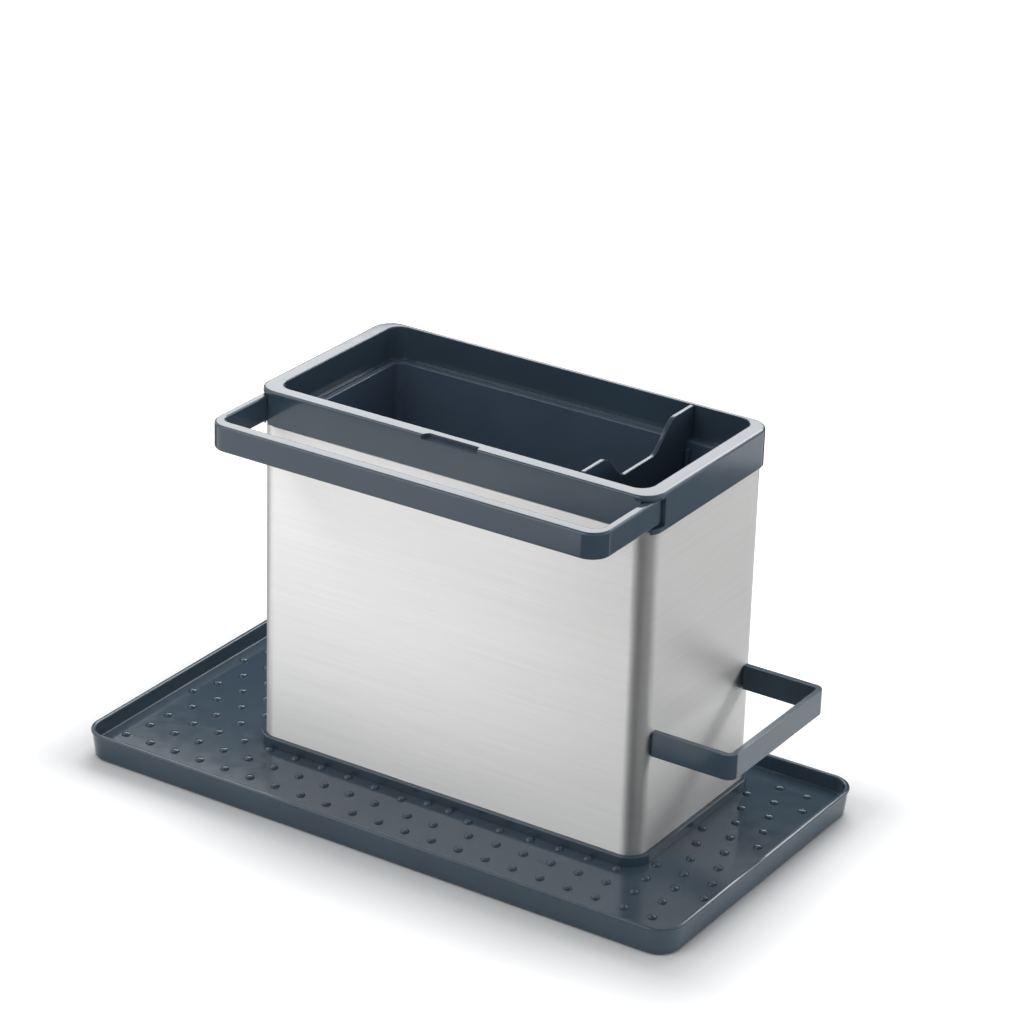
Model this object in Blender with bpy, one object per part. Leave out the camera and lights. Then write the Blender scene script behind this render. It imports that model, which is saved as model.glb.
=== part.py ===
"""Sink organizer: a steel-sleeved caddy with a towel rail and a side holder, on a nubbed drip tray.

Run with: blender --background --python part.py
Dimensions are in millimetres and meshes in metres. +Z is up, the front faces -Y, and the origin is
the centre of the drip tray on the surface that the feet stand on.
"""
import math

import bmesh
import bpy
from mathutils import Matrix, Vector

MM = 0.001
GAP = 0.3

# Drip tray
TRAY_LENGTH = 280.0
TRAY_DEPTH = 148.2
TRAY_CORNER = 10.8
TRAY_BOTTOM = 0.6
TRAY_RIM = 12.2
TRAY_BEAD = 0.5
TRAY_BEAD_HEIGHT = 1.2
TRAY_RIM_WIDTH = 1.9
TRAY_EDGE_ROUND = 0.4
TRAY_OUTER_DRAFT = 1.1
TRAY_INNER_DRAFT = 0.9
TRAY_WALL_FOOT = 1.4
FLOOR_TOP = 6.1
FLOOR_FILLET = 0.5
FLOOR_THICKNESS = 2.0

# Nubs of the tray floor. Offsets run to both sides of the pattern's centre line
NUB_CENTRE_X = 9.0
NUB_RADIUS = 1.9
NUB_HEIGHT = 1.0
NUB_TOP_RADIUS = 1.18
NUB_SHOULDER = 0.35
NUB_SIDES = 8
NUB_ROOT = 0.5
NUB_STEP = 12.6
NUB_ROW = 11.8
NUB_FIRST_ROW_Y = -57.2
NUB_SECOND_ROW_Y = -44.9
NUB_SECOND_PAIR = 6.2
NUB_SECOND_START = 22.4
NUB_SECOND_BOW = 1.6
NUB_THIRD_ROW_Y = -33.6
NUB_THIRD_PAIR = 5.2
NUB_THIRD_START = 16.0
NUB_THIRD_STEP = 13.0
NUB_THIRD_SPREAD = 2.2
NUB_THIRD_SPREAD_COLUMNS = 1.5
NUB_THIRD_BOW = 3.9
NUB_BOW_REACH = 30.0
NUB_BAY_ROW_Y = -22.0
NUB_BAY_START = 94.0
NUB_BAY_SHIFT = -4.2
NUB_BAY_ROWS = 8
NUB_BAY_COLUMNS = 7
NUB_WALL_CLEARANCE = 8.5
NUB_CADDY_CLEARANCE = 2.6

# Rubber feet and their sockets under the tray
FOOT_X = 121.0
FOOT_Y = 56.0
FOOT_RADIUS = 6.2
FOOT_ROUND = 0.5
SOCKET_CLEARANCE = 0.55
SOCKET_WALL = 1.5
SOCKET_HEIGHT = 1.6
ROUND_SIDES = 24

# Steel sleeve
SLEEVE_LEFT = -82.65
SLEEVE_RIGHT = 97.94
SLEEVE_FRONT = -29.46
SLEEVE_BACK = 58.33
SLEEVE_CORNER = 8.0
SLEEVE_BOTTOM = 10.4
SLEEVE_TOP = 147.6
SHEET = 0.8

# Base frame below the sleeve
BASE_PROUD = 2.0
BASE_BOTTOM = FLOOR_TOP + GAP
BASE_LEDGE = SLEEVE_BOTTOM - GAP
BASE_EDGE = 0.4
BASE_LIP = 2.2
BASE_WALL_TOP = 22.0
BASE_WALL = 1.7
BASE_FLOOR_LOW = 9.2
BASE_FLOOR_HIGH = 11.2
DRAIN_COLUMNS = 6
DRAIN_ROWS = 3
DRAIN_RIB = 4.0
DRAIN_MARGIN = 9.0
DRAIN_CORNER = 3.0

# Locating rib on the tray floor, inside the base frame's lip
RIB_INSET = 3.2
RIB_WIDTH = 1.5
RIB_HEIGHT = 2.3

# Top collar
COLLAR_PROUD = 1.1
COLLAR_CORNER = 8.3
COLLAR_TOP = 162.9
COLLAR_BAND_BOTTOM = 146.9
COLLAR_FRONT_BAND_BOTTOM = 148.1
COLLAR_FLANGE_UNDERSIDE = 160.7
COLLAR_EDGE = 0.6
COLLAR_FRONT_STEP = 0.5
OPENING_LEFT = -77.35
OPENING_RIGHT = 92.1
OPENING_FRONT = -24.1
OPENING_BACK = 57.7
OPENING_CORNER = 6.5
OPENING_EDGE = 0.5
SHOULDER = SLEEVE_TOP + GAP
STEP_TOP = 149.1
STEP_WIDTH = 1.2
LEDGE_WIDTH = 1.6
LEDGE_TOP = 147.0
LEDGE_BOTTOM = 145.4
SKIRT_GAP = SHEET + GAP
POCKET_WALL = 1.6
POCKET_SKIN = 1.0
POCKET_END = 4.0

# Rail sockets in the collar's front corners
SOCKET_CORE_LEFT = -77.9
SOCKET_CORE_RIGHT = 93.4
SOCKET_BACK = -21.0
SOCKET_TONGUE_FRONT = -27.0
SOCKET_TONGUE_TOP = 149.2

# Finger notch in the collar's front edge
NOTCH_LEFT = -2.3
NOTCH_RIGHT = 19.9
NOTCH_BACK = -27.6
NOTCH_LEFT_RUN = 3.4
NOTCH_RIGHT_RUN = 1.2
NOTCH_LEFT_STEPS = 6
NOTCH_RIGHT_STEPS = 4
NOTCH_FLOOR = 160.9

# Inner tub
TUB_WALL = 1.3
TUB_DRAFT = 2.5
TUB_BOTTOM = 12.5
TUB_FLOOR = 14.2
TUB_FILLET = 1.0
TUB_FLANGE_BOTTOM = LEDGE_TOP + GAP
TUB_FLANGE_TOP = 148.9
TUB_EDGE = 0.3
TUB_CORNER = 4.5
TUB_SLOTS = 7
TUB_SLOT_WIDTH = 3.4
TUB_SLOT_CORNER = 1.65
TUB_SLOT_LENGTH = 44.0
TUB_SLOT_SPACING = 17.0
TUB_SLOT_CENTRE_X = -5.0

# Cross divider, its guide ribs on the walls and their sills on the floor
DIVIDER_X = 63.7
DIVIDER_THICKNESS = 1.8
DIVIDER_EDGE_GAP = 0.4
DIVIDER_SHOULDER = STEP_TOP + GAP
DIVIDER_FLAT = 13.5
DIVIDER_SCOOP_RUN = 17.0
DIVIDER_SCOOP_DEPTH = 11.5
DIVIDER_SCOOP_STEPS = 8
DIVIDER_CORNER = 0.6
GUIDE_WIDTH = 1.5
GUIDE_REACH = 2.0
GUIDE_ROOT = 0.6
GUIDE_TOP = 146.0
SILL_HEIGHT = 0.9
SILL_INSET = 0.1

# Front rail
RAIL_LEFT = -81.4
RAIL_RIGHT = 97.5
RAIL_FRONT = -65.5
RAIL_FRONT_THICKNESS = 5.6
RAIL_LEFT_THICKNESS = 3.2
RAIL_RIGHT_THICKNESS = 3.8
RAIL_BOTTOM = 149.5
RAIL_TOP = 160.4
RAIL_CORNER = 8.2
RAIL_INNER_CORNER = 4.4
RAIL_ARM_END = SOCKET_BACK - GAP
RAIL_EDGE = 0.6

# Side holder
HOLDER_NEAR = -22.0
HOLDER_FAR = 50.8
HOLDER_OUT = 134.1
HOLDER_THICKNESS = 2.6
HOLDER_BOTTOM = 52.1
HOLDER_TOP = 62.6
HOLDER_CORNER = 4.2
HOLDER_INNER_CORNER = 1.6
HOLDER_EDGE = 0.4
TAB_LENGTH = 5.4
TAB_ROOT = 0.8
TAB_THICKNESS = 2.0
TAB_HEIGHT = 7.0

CORNER_STEPS = 6
BAND_STEPS = 8
SMALL_STEPS = 3
BEVEL_SEGMENTS = 2
BEVEL_ANGLE = 60
SMOOTH_ANGLE = 32
CUTTER_REACH = 3.0
OVERCUT = 1.0

SLEEVE_BOX = (SLEEVE_LEFT, SLEEVE_RIGHT, SLEEVE_FRONT, SLEEVE_BACK)
OPENING_BOX = (OPENING_LEFT, OPENING_RIGHT, OPENING_FRONT, OPENING_BACK)
TRAY_BOX = (-TRAY_LENGTH / 2, TRAY_LENGTH / 2, -TRAY_DEPTH / 2, TRAY_DEPTH / 2)
CADDY_CENTRE = ((SLEEVE_LEFT + SLEEVE_RIGHT) / 2, (SLEEVE_FRONT + SLEEVE_BACK) / 2)

SLATE = ("slate gloss plastic", (0.052, 0.066, 0.08), 0.24, 0.0)
SLATE_TUB = ("slate satin plastic", (0.03, 0.038, 0.05), 0.36, 0.0)
STEEL = ("brushed stainless steel", (0.62, 0.62, 0.61), 0.3, 1.0)
RUBBER = ("grey rubber", (0.09, 0.09, 0.095), 0.85, 0.0)


# Outlines and plain solids

def inset(box, distance):
    """Move all four sides of a plan rectangle inwards, or outwards if the distance is negative."""
    left, right, front, back = box
    return (left + distance, right - distance, front + distance, back - distance)


def arc(centre, radius, start, steps):
    """Points of a quarter circle that starts at the given angle and runs anticlockwise."""
    points = []
    for step in range(steps + 1):
        angle = math.radians(start + 90.0 * step / steps)
        points.append((centre[0] + radius * math.cos(angle), centre[1] + radius * math.sin(angle)))
    return points


def rounded_outline(box, radius, steps=CORNER_STEPS):
    """Anticlockwise points of a rectangle with quarter-round corners, seen from above."""
    left, right, front, back = box
    if radius <= 0:
        return [(right, back), (left, back), (left, front), (right, front)]
    points = arc((right - radius, back - radius), radius, 0, steps)
    points += arc((left + radius, back - radius), radius, 90, steps)
    points += arc((left + radius, front + radius), radius, 180, steps)
    points += arc((right - radius, front + radius), radius, 270, steps)
    return points


def skin_levels(bm, levels, closed, steps=CORNER_STEPS):
    """Skin a stack of rounded rectangles. A closed stack meets its start, an open one is capped."""
    rows = []
    for box, radius, height in levels:
        points = rounded_outline(box, radius, steps)
        rows.append([bm.verts.new((x * MM, y * MM, height * MM)) for x, y in points])
    pairs = list(zip(rows, rows[1:]))
    if closed:
        pairs.append((rows[-1], rows[0]))
    count = len(rows[0])
    for lower, upper in pairs:
        for i in range(count):
            j = (i + 1) % count
            bm.faces.new((lower[i], lower[j], upper[j], upper[i]))
    if not closed:
        bm.faces.new(list(reversed(rows[0])))
        bm.faces.new(rows[-1])


def extrude_outline(bm, points, low, high):
    """Raise a flat outline into a prism between two heights."""
    face = bm.faces.new([bm.verts.new((x * MM, y * MM, low * MM)) for x, y in points])
    raised = bmesh.ops.extrude_face_region(bm, geom=[face])
    tops = [item for item in raised["geom"] if isinstance(item, bmesh.types.BMVert)]
    bmesh.ops.translate(bm, verts=tops, vec=(0, 0, (high - low) * MM))


def turn_profile(bm, centre, profile, sides):
    """Turn a profile of (radius, height) pairs about a vertical axis and cap both ends."""
    rows = []
    for radius, height in profile:
        row = []
        for side in range(sides):
            angle = 2 * math.pi * side / sides
            x = centre[0] + radius * math.cos(angle)
            y = centre[1] + radius * math.sin(angle)
            row.append(bm.verts.new((x * MM, y * MM, height * MM)))
        rows.append(row)
    for lower, upper in zip(rows, rows[1:]):
        for i in range(sides):
            j = (i + 1) % sides
            bm.faces.new((lower[i], lower[j], upper[j], upper[i]))
    bm.faces.new(list(reversed(rows[0])))
    bm.faces.new(rows[-1])


def u_outline(left, right, front, ends, walls, radii, steps=BAND_STEPS):
    """Outline of a U-shaped band that is closed at the front, with walls (left, right, front)."""
    outer, inner = radii
    points = [(left, ends)]
    points += arc((left + outer, front + outer), outer, 180, steps)
    points += arc((right - outer, front + outer), outer, 270, steps)
    points.append((right, ends))
    points.append((right - walls[1], ends))
    inner_right = right - walls[1] - inner
    inner_left = left + walls[0] + inner
    inner_front = front + walls[2] + inner
    points += list(reversed(arc((inner_right, inner_front), inner, 270, steps)))
    points += list(reversed(arc((inner_left, inner_front), inner, 180, steps)))
    points.append((left + walls[0], ends))
    return points


# Scene objects, materials and modifiers

def clear_scene():
    for item in list(bpy.data.objects):
        bpy.data.objects.remove(item, do_unlink=True)


def make_material(recipe):
    name, colour, roughness, metallic = recipe
    material = bpy.data.materials.new(name)
    material.use_nodes = True
    shader = material.node_tree.nodes["Principled BSDF"]
    shader.inputs["Base Color"].default_value = (*colour, 1.0)
    shader.inputs["Roughness"].default_value = roughness
    shader.inputs["Metallic"].default_value = metallic
    material.diffuse_color = (*colour, 1.0)
    return material


def make_empty(name, location, parent=None):
    """A guide point that carries the pieces of one body."""
    empty = bpy.data.objects.new(name, None)
    bpy.context.collection.objects.link(empty)
    empty.location = Vector(location) * MM
    if parent:
        empty.parent = parent
        empty.location = Vector(location) * MM - world_place(parent)
    return empty


def world_place(item):
    """World position of an unturned item, summed up its chain of parents."""
    place = item.location.copy()
    while item.parent:
        item = item.parent
        place += item.location
    return place


def make_piece(name, bm, origin, parent, material=None):
    """Turn the working mesh into an object whose own origin lies at the given point."""
    bmesh.ops.recalc_face_normals(bm, faces=bm.faces)
    shift = Vector(origin) * MM
    bmesh.ops.translate(bm, verts=bm.verts, vec=-shift)
    mesh = bpy.data.meshes.new(name)
    bm.to_mesh(mesh)
    bm.free()
    piece = bpy.data.objects.new(name, mesh)
    bpy.context.collection.objects.link(piece)
    piece.parent = parent
    piece.location = shift - world_place(parent)
    if material:
        mesh.materials.append(material)
        mesh.shade_smooth()
        mesh.set_sharp_from_angle(angle=math.radians(SMOOTH_ANGLE))
    return piece


def combine(piece, name, bm, operation):
    """Join a working mesh to a piece, or cut it out, through a hidden guide object."""
    guide = make_piece(name, bm, tuple(world_place(piece) / MM), piece.parent)
    guide.hide_render = True
    guide.display_type = "WIRE"
    modifier = piece.modifiers.new(name, "BOOLEAN")
    modifier.operation = operation
    modifier.solver = "EXACT"
    modifier.object = guide


def bevel_edges(piece, width):
    modifier = piece.modifiers.new("edge rounding", "BEVEL")
    modifier.width = width * MM
    modifier.segments = BEVEL_SEGMENTS
    modifier.limit_method = "ANGLE"
    modifier.angle_limit = math.radians(BEVEL_ANGLE)


# Drip tray

def bowed(offset, height):
    """How far a row comes forward at an offset from the centre line: a bell curve."""
    return height * math.exp(-((offset / NUB_BOW_REACH) ** 2))


def front_nubs():
    """Offsets and depths of the three front rows, of which two part and bow at the middle."""
    count = int(TRAY_LENGTH / NUB_STEP)
    places = [(0.0, NUB_FIRST_ROW_Y)]
    places.append((NUB_SECOND_PAIR, NUB_SECOND_ROW_Y - NUB_SECOND_BOW))
    places.append((NUB_THIRD_PAIR, NUB_THIRD_ROW_Y))
    for column in range(count):
        places.append(((column + 1) * NUB_STEP, NUB_FIRST_ROW_Y))
        second = NUB_SECOND_START + column * NUB_STEP
        places.append((second, NUB_SECOND_ROW_Y - bowed(second, NUB_SECOND_BOW)))
        spread = NUB_THIRD_SPREAD * (1 - math.exp(-column / NUB_THIRD_SPREAD_COLUMNS))
        third = NUB_THIRD_START + column * NUB_THIRD_STEP + spread
        places.append((third, NUB_THIRD_ROW_Y - bowed(third, NUB_THIRD_BOW)))
    return places


def bay_nubs():
    """Offsets and depths of the rows beside the caddy, each shifted against the one before."""
    places = []
    for row in range(NUB_BAY_ROWS):
        for column in range(NUB_BAY_COLUMNS):
            offset = NUB_BAY_START + row * NUB_BAY_SHIFT + column * NUB_STEP
            places.append((offset, NUB_BAY_ROW_Y + row * NUB_ROW))
    return places


def nub_places():
    """Nub centres on both sides of the centre line, on the floor that the caddy leaves free."""
    caddy = inset(SLEEVE_BOX, -(BASE_PROUD + NUB_CADDY_CLEARANCE))
    well = inset(TRAY_BOX, NUB_WALL_CLEARANCE)
    places = []
    for side in (-1, 1):
        for offset, y in front_nubs():
            x = NUB_CENTRE_X + side * offset
            if well[0] < x < well[1] and (offset > 0 or side > 0):
                places.append((x, y))
        for offset, y in bay_nubs():
            x = NUB_CENTRE_X + side * offset
            if well[0] < x < well[1] and not caddy[0] <= x <= caddy[1]:
                places.append((x, y))
    return places


def build_tray(parent, material):
    """One moulding: drafted wall with a rim bead, glossy floor with nubs, hollow underside."""
    foot = TRAY_BEAD + TRAY_OUTER_DRAFT
    bead_low = TRAY_RIM - TRAY_BEAD_HEIGHT
    well = TRAY_RIM_WIDTH + TRAY_INNER_DRAFT
    floor_low = FLOOR_TOP - FLOOR_THICKNESS
    steps = (
        (foot + TRAY_WALL_FOOT + TRAY_EDGE_ROUND, floor_low),
        (foot + TRAY_WALL_FOOT, TRAY_BOTTOM),
        (foot, TRAY_BOTTOM),
        (TRAY_BEAD, bead_low - TRAY_EDGE_ROUND),
        (0.0, bead_low),
        (0.0, TRAY_RIM - TRAY_EDGE_ROUND),
        (TRAY_EDGE_ROUND, TRAY_RIM),
        (TRAY_RIM_WIDTH - TRAY_EDGE_ROUND, TRAY_RIM),
        (TRAY_RIM_WIDTH, TRAY_RIM - TRAY_EDGE_ROUND),
        (well, FLOOR_TOP + FLOOR_FILLET),
        (well + FLOOR_FILLET, FLOOR_TOP),
    )
    levels = [(inset(TRAY_BOX, step), TRAY_CORNER - step, height) for step, height in steps]
    bm = bmesh.new()
    skin_levels(bm, levels, closed=False)
    tray = make_piece("drip_tray", bm, (0, 0, TRAY_BOTTOM), parent, material)
    bm = bmesh.new()
    profile = (
        (NUB_RADIUS, FLOOR_TOP - NUB_ROOT),
        (NUB_RADIUS, FLOOR_TOP + NUB_SHOULDER),
        (NUB_TOP_RADIUS, FLOOR_TOP + NUB_HEIGHT),
    )
    for place in nub_places():
        turn_profile(bm, place, profile, NUB_SIDES)
    combine(tray, "nub_pattern", bm, "UNION")
    outer = inset(SLEEVE_BOX, RIB_INSET)
    inner = inset(outer, RIB_WIDTH)
    outer_radius = SLEEVE_CORNER - RIB_INSET
    inner_radius = outer_radius - RIB_WIDTH
    high = FLOOR_TOP + RIB_HEIGHT
    low = FLOOR_TOP - NUB_ROOT
    bm = bmesh.new()
    rib = [(outer, outer_radius, low), (outer, outer_radius, high)]
    rib += [(inner, inner_radius, high), (inner, inner_radius, low)]
    skin_levels(bm, rib, closed=True)
    combine(tray, "locating_rib", bm, "UNION")
    bm = bmesh.new()
    inner_radius = FOOT_RADIUS + SOCKET_CLEARANCE
    for place in foot_places():
        turn_ring(bm, place, inner_radius, inner_radius + SOCKET_WALL,
                  floor_low - SOCKET_HEIGHT, floor_low + NUB_ROOT)
    combine(tray, "foot_sockets", bm, "UNION")
    return tray


def turn_ring(bm, centre, inner, outer, low, high):
    """A short upright tube: the profile rectangle turned about a vertical axis."""
    rows = []
    for radius, height in ((outer, low), (outer, high), (inner, high), (inner, low)):
        row = []
        for side in range(ROUND_SIDES):
            angle = 2 * math.pi * side / ROUND_SIDES
            x = centre[0] + radius * math.cos(angle)
            y = centre[1] + radius * math.sin(angle)
            row.append(bm.verts.new((x * MM, y * MM, height * MM)))
        rows.append(row)
    for lower, upper in zip(rows, rows[1:] + rows[:1]):
        for i in range(ROUND_SIDES):
            j = (i + 1) % ROUND_SIDES
            bm.faces.new((lower[i], lower[j], upper[j], upper[i]))


def foot_places():
    return [(side * FOOT_X, end * FOOT_Y) for end in (-1, 1) for side in (-1, 1)]


def build_feet(parent, material):
    """Four rubber pads that carry the tray just clear of the worktop."""
    top = FLOOR_TOP - FLOOR_THICKNESS - GAP
    profile = (
        (FOOT_RADIUS - FOOT_ROUND, 0.0),
        (FOOT_RADIUS, FOOT_ROUND),
        (FOOT_RADIUS, top),
    )
    for number, place in enumerate(foot_places(), start=1):
        bm = bmesh.new()
        turn_profile(bm, place, profile, ROUND_SIDES)
        make_piece(f"tray_foot_{number}", bm, (*place, 0), parent, material)


# Caddy shell: base frame, steel sleeve and top collar

def build_base(parent, material):
    """Plinth ring that carries the sleeve, with an upstand inside it and a drained floor."""
    outer = -BASE_PROUD
    upstand = SHEET + GAP
    steps = (
        (BASE_LIP + BASE_EDGE, BASE_FLOOR_LOW),
        (BASE_LIP, BASE_BOTTOM),
        (outer + BASE_EDGE, BASE_BOTTOM),
        (outer, BASE_BOTTOM + BASE_EDGE),
        (outer, BASE_LEDGE - BASE_EDGE),
        (outer + BASE_EDGE, BASE_LEDGE),
        (upstand, BASE_LEDGE),
        (upstand, BASE_WALL_TOP - BASE_EDGE),
        (upstand + BASE_EDGE, BASE_WALL_TOP),
        (upstand + BASE_WALL, BASE_WALL_TOP),
        (upstand + BASE_WALL + BASE_EDGE, BASE_FLOOR_HIGH),
    )
    levels = [(inset(SLEEVE_BOX, step), SLEEVE_CORNER - step, height) for step, height in steps]
    bm = bmesh.new()
    skin_levels(bm, levels, closed=False)
    base = make_piece("base_frame", bm, (*CADDY_CENTRE, BASE_BOTTOM), parent, material)
    combine(base, "drain_windows", drain_windows(), "DIFFERENCE")


def drain_windows():
    """Grid of rounded windows that leaves a lattice of ribs in the base frame's floor."""
    left, right, front, back = inset(SLEEVE_BOX, DRAIN_MARGIN)
    width = (right - left - DRAIN_RIB * (DRAIN_COLUMNS - 1)) / DRAIN_COLUMNS
    depth = (back - front - DRAIN_RIB * (DRAIN_ROWS - 1)) / DRAIN_ROWS
    bm = bmesh.new()
    for column in range(DRAIN_COLUMNS):
        for row in range(DRAIN_ROWS):
            x = left + column * (width + DRAIN_RIB)
            y = front + row * (depth + DRAIN_RIB)
            window = rounded_outline((x, x + width, y, y + depth), DRAIN_CORNER, SMALL_STEPS)
            extrude_outline(bm, window, BASE_FLOOR_LOW - OVERCUT, BASE_FLOOR_HIGH + OVERCUT)
    return bm


def build_sleeve(parent, material):
    """Tube of sheet steel with rounded corners and two slots for the side holder's tabs."""
    inner = inset(SLEEVE_BOX, SHEET)
    inner_corner = SLEEVE_CORNER - SHEET
    levels = (
        (SLEEVE_BOX, SLEEVE_CORNER, SLEEVE_BOTTOM),
        (SLEEVE_BOX, SLEEVE_CORNER, SLEEVE_TOP),
        (inner, inner_corner, SLEEVE_TOP),
        (inner, inner_corner, SLEEVE_BOTTOM),
    )
    bm = bmesh.new()
    skin_levels(bm, levels, closed=True, steps=BAND_STEPS)
    sleeve = make_piece("steel_sleeve", bm, (*CADDY_CENTRE, SLEEVE_BOTTOM), parent, material)
    bm = bmesh.new()
    middle = (HOLDER_BOTTOM + HOLDER_TOP) / 2
    half_height = TAB_HEIGHT / 2 + GAP
    for y in tab_centres():
        low = y - TAB_THICKNESS / 2 - GAP
        high = y + TAB_THICKNESS / 2 + GAP
        slot = rounded_outline((SLEEVE_RIGHT - CUTTER_REACH, SLEEVE_RIGHT + CUTTER_REACH, low, high), 0)
        extrude_outline(bm, slot, middle - half_height, middle + half_height)
    combine(sleeve, "holder_slots", bm, "DIFFERENCE")


def collar_levels():
    """Section of the collar, up the outside, over the rim, down the inside and back underneath."""
    outer = inset(SLEEVE_BOX, -COLLAR_PROUD)
    lip = inset(SLEEVE_BOX, -GAP)
    skirt = inset(SLEEVE_BOX, SKIRT_GAP)
    step = inset(OPENING_BOX, STEP_WIDTH)
    ledge = inset(step, LEDGE_WIDTH)
    step_corner = OPENING_CORNER - STEP_WIDTH
    ledge_corner = step_corner - LEDGE_WIDTH / 2
    return (
        (inset(outer, GAP), COLLAR_CORNER - GAP, COLLAR_BAND_BOTTOM),
        (outer, COLLAR_CORNER, COLLAR_BAND_BOTTOM + GAP),
        (outer, COLLAR_CORNER, COLLAR_TOP - COLLAR_EDGE),
        (inset(outer, COLLAR_EDGE), COLLAR_CORNER - COLLAR_EDGE, COLLAR_TOP),
        (inset(OPENING_BOX, -OPENING_EDGE), OPENING_CORNER + OPENING_EDGE, COLLAR_TOP),
        (OPENING_BOX, OPENING_CORNER, COLLAR_TOP - OPENING_EDGE),
        (OPENING_BOX, OPENING_CORNER, STEP_TOP),
        (step, step_corner, STEP_TOP),
        (step, step_corner, LEDGE_TOP),
        (ledge, ledge_corner, LEDGE_TOP),
        (ledge, ledge_corner, LEDGE_BOTTOM),
        (skirt, SLEEVE_CORNER - SKIRT_GAP, LEDGE_BOTTOM),
        (skirt, SLEEVE_CORNER - SKIRT_GAP, SHOULDER),
        (lip, SLEEVE_CORNER + GAP, SHOULDER),
        (lip, SLEEVE_CORNER + GAP, COLLAR_BAND_BOTTOM),
    )


def collar_pockets():
    """Three core-outs under the rim, behind the front band and behind both side bands."""
    skirt = inset(SLEEVE_BOX, SKIRT_GAP + POCKET_SKIN)
    core = inset(OPENING_BOX, -POCKET_WALL)
    front_end = SOCKET_BACK + POCKET_END
    back_end = OPENING_BACK - OPENING_CORNER
    boxes = (
        (core[1], skirt[1], front_end, back_end),
        (skirt[0], core[0], front_end, back_end),
        (OPENING_LEFT + POCKET_END, OPENING_RIGHT - POCKET_END, skirt[2], core[2]),
    )
    bm = bmesh.new()
    for box in boxes:
        extrude_outline(bm, rounded_outline(box, 0), LEDGE_BOTTOM - OVERCUT, COLLAR_FLANGE_UNDERSIDE)
    return bm


def rail_socket_cuts():
    """Recesses for the rail's arms in both front corners, each with a short tongue left below."""
    front = SLEEVE_FRONT - CUTTER_REACH
    sides = (
        (SLEEVE_LEFT - CUTTER_REACH, SOCKET_CORE_LEFT),
        (SOCKET_CORE_RIGHT, SLEEVE_RIGHT + CUTTER_REACH),
    )
    bm = bmesh.new()
    for left, right in sides:
        outline = (
            (left, front, LEDGE_BOTTOM - OVERCUT),
            (left, SOCKET_TONGUE_FRONT, LEDGE_BOTTOM - OVERCUT),
            (left, SOCKET_TONGUE_FRONT, SOCKET_TONGUE_TOP),
            (left, SOCKET_BACK, SOCKET_TONGUE_TOP),
            (left, SOCKET_BACK, COLLAR_FLANGE_UNDERSIDE),
            (left, front, COLLAR_FLANGE_UNDERSIDE),
        )
        face = bm.faces.new([bm.verts.new(Vector(point) * MM) for point in outline])
        swept = bmesh.ops.extrude_face_region(bm, geom=[face])
        verts = [item for item in swept["geom"] if isinstance(item, bmesh.types.BMVert)]
        bmesh.ops.translate(bm, verts=verts, vec=((right - left) * MM, 0, 0))
    return bm


def smooth_run(start, end, steps):
    """Points from start to end whose rise follows half a cosine wave."""
    points = []
    for step in range(steps + 1):
        t = step / steps
        rise = 0.5 - 0.5 * math.cos(math.pi * t)
        points.append((start[0] + (end[0] - start[0]) * t, start[1] + (end[1] - start[1]) * rise))
    return points


def notch_cut():
    """Shallow finger notch with one soft and one sharper end."""
    edge = SLEEVE_FRONT - COLLAR_PROUD
    front = edge - CUTTER_REACH
    points = [(NOTCH_LEFT - NOTCH_LEFT_RUN, front)]
    points.append((NOTCH_RIGHT + NOTCH_RIGHT_RUN, front))
    points += smooth_run((NOTCH_RIGHT + NOTCH_RIGHT_RUN, edge - GAP), (NOTCH_RIGHT, NOTCH_BACK),
                         NOTCH_RIGHT_STEPS)
    points += smooth_run((NOTCH_LEFT, NOTCH_BACK), (NOTCH_LEFT - NOTCH_LEFT_RUN, edge - GAP),
                         NOTCH_LEFT_STEPS)
    bm = bmesh.new()
    extrude_outline(bm, points, NOTCH_FLOOR, COLLAR_TOP + OVERCUT)
    return bm


def build_collar(parent, material):
    """Rim flange with a side band, a ledge for the tub, rail sockets and a finger notch."""
    bm = bmesh.new()
    skin_levels(bm, collar_levels(), closed=True, steps=BAND_STEPS)
    collar = make_piece("top_collar", bm, (*CADDY_CENTRE, SHOULDER), parent, material)
    front = SLEEVE_FRONT - CUTTER_REACH
    face = SLEEVE_FRONT - COLLAR_PROUD + COLLAR_FRONT_STEP
    bm = bmesh.new()
    band = (SOCKET_CORE_LEFT, SOCKET_CORE_RIGHT, front, face)
    extrude_outline(bm, rounded_outline(inset_ends(band, -GAP), 0), LEDGE_BOTTOM - OVERCUT,
                    COLLAR_FLANGE_UNDERSIDE)
    combine(collar, "front_band_step", bm, "DIFFERENCE")
    bm = bmesh.new()
    lip = (SOCKET_CORE_LEFT, SOCKET_CORE_RIGHT, front, SLEEVE_FRONT + SHEET / 2)
    extrude_outline(bm, rounded_outline(inset_ends(lip, -GAP), 0), LEDGE_BOTTOM - OVERCUT,
                    COLLAR_FRONT_BAND_BOTTOM)
    combine(collar, "front_lip_relief", bm, "DIFFERENCE")
    combine(collar, "rail_sockets", rail_socket_cuts(), "DIFFERENCE")
    combine(collar, "rim_pockets", collar_pockets(), "DIFFERENCE")
    combine(collar, "finger_notch", notch_cut(), "DIFFERENCE")


def inset_ends(box, distance):
    """Move only the left and right sides of a plan rectangle."""
    return (box[0] + distance, box[1] - distance, box[2], box[3])


# Tub and divider

def tub_boxes():
    """Outer top, inner top, outer bottom and inner bottom rectangles of the tub's wall."""
    outer_top = inset(OPENING_BOX, STEP_WIDTH + LEDGE_WIDTH + GAP)
    inner_top = inset(outer_top, TUB_WALL)
    return outer_top, inner_top, inset(outer_top, TUB_DRAFT), inset(inner_top, TUB_DRAFT)


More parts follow.
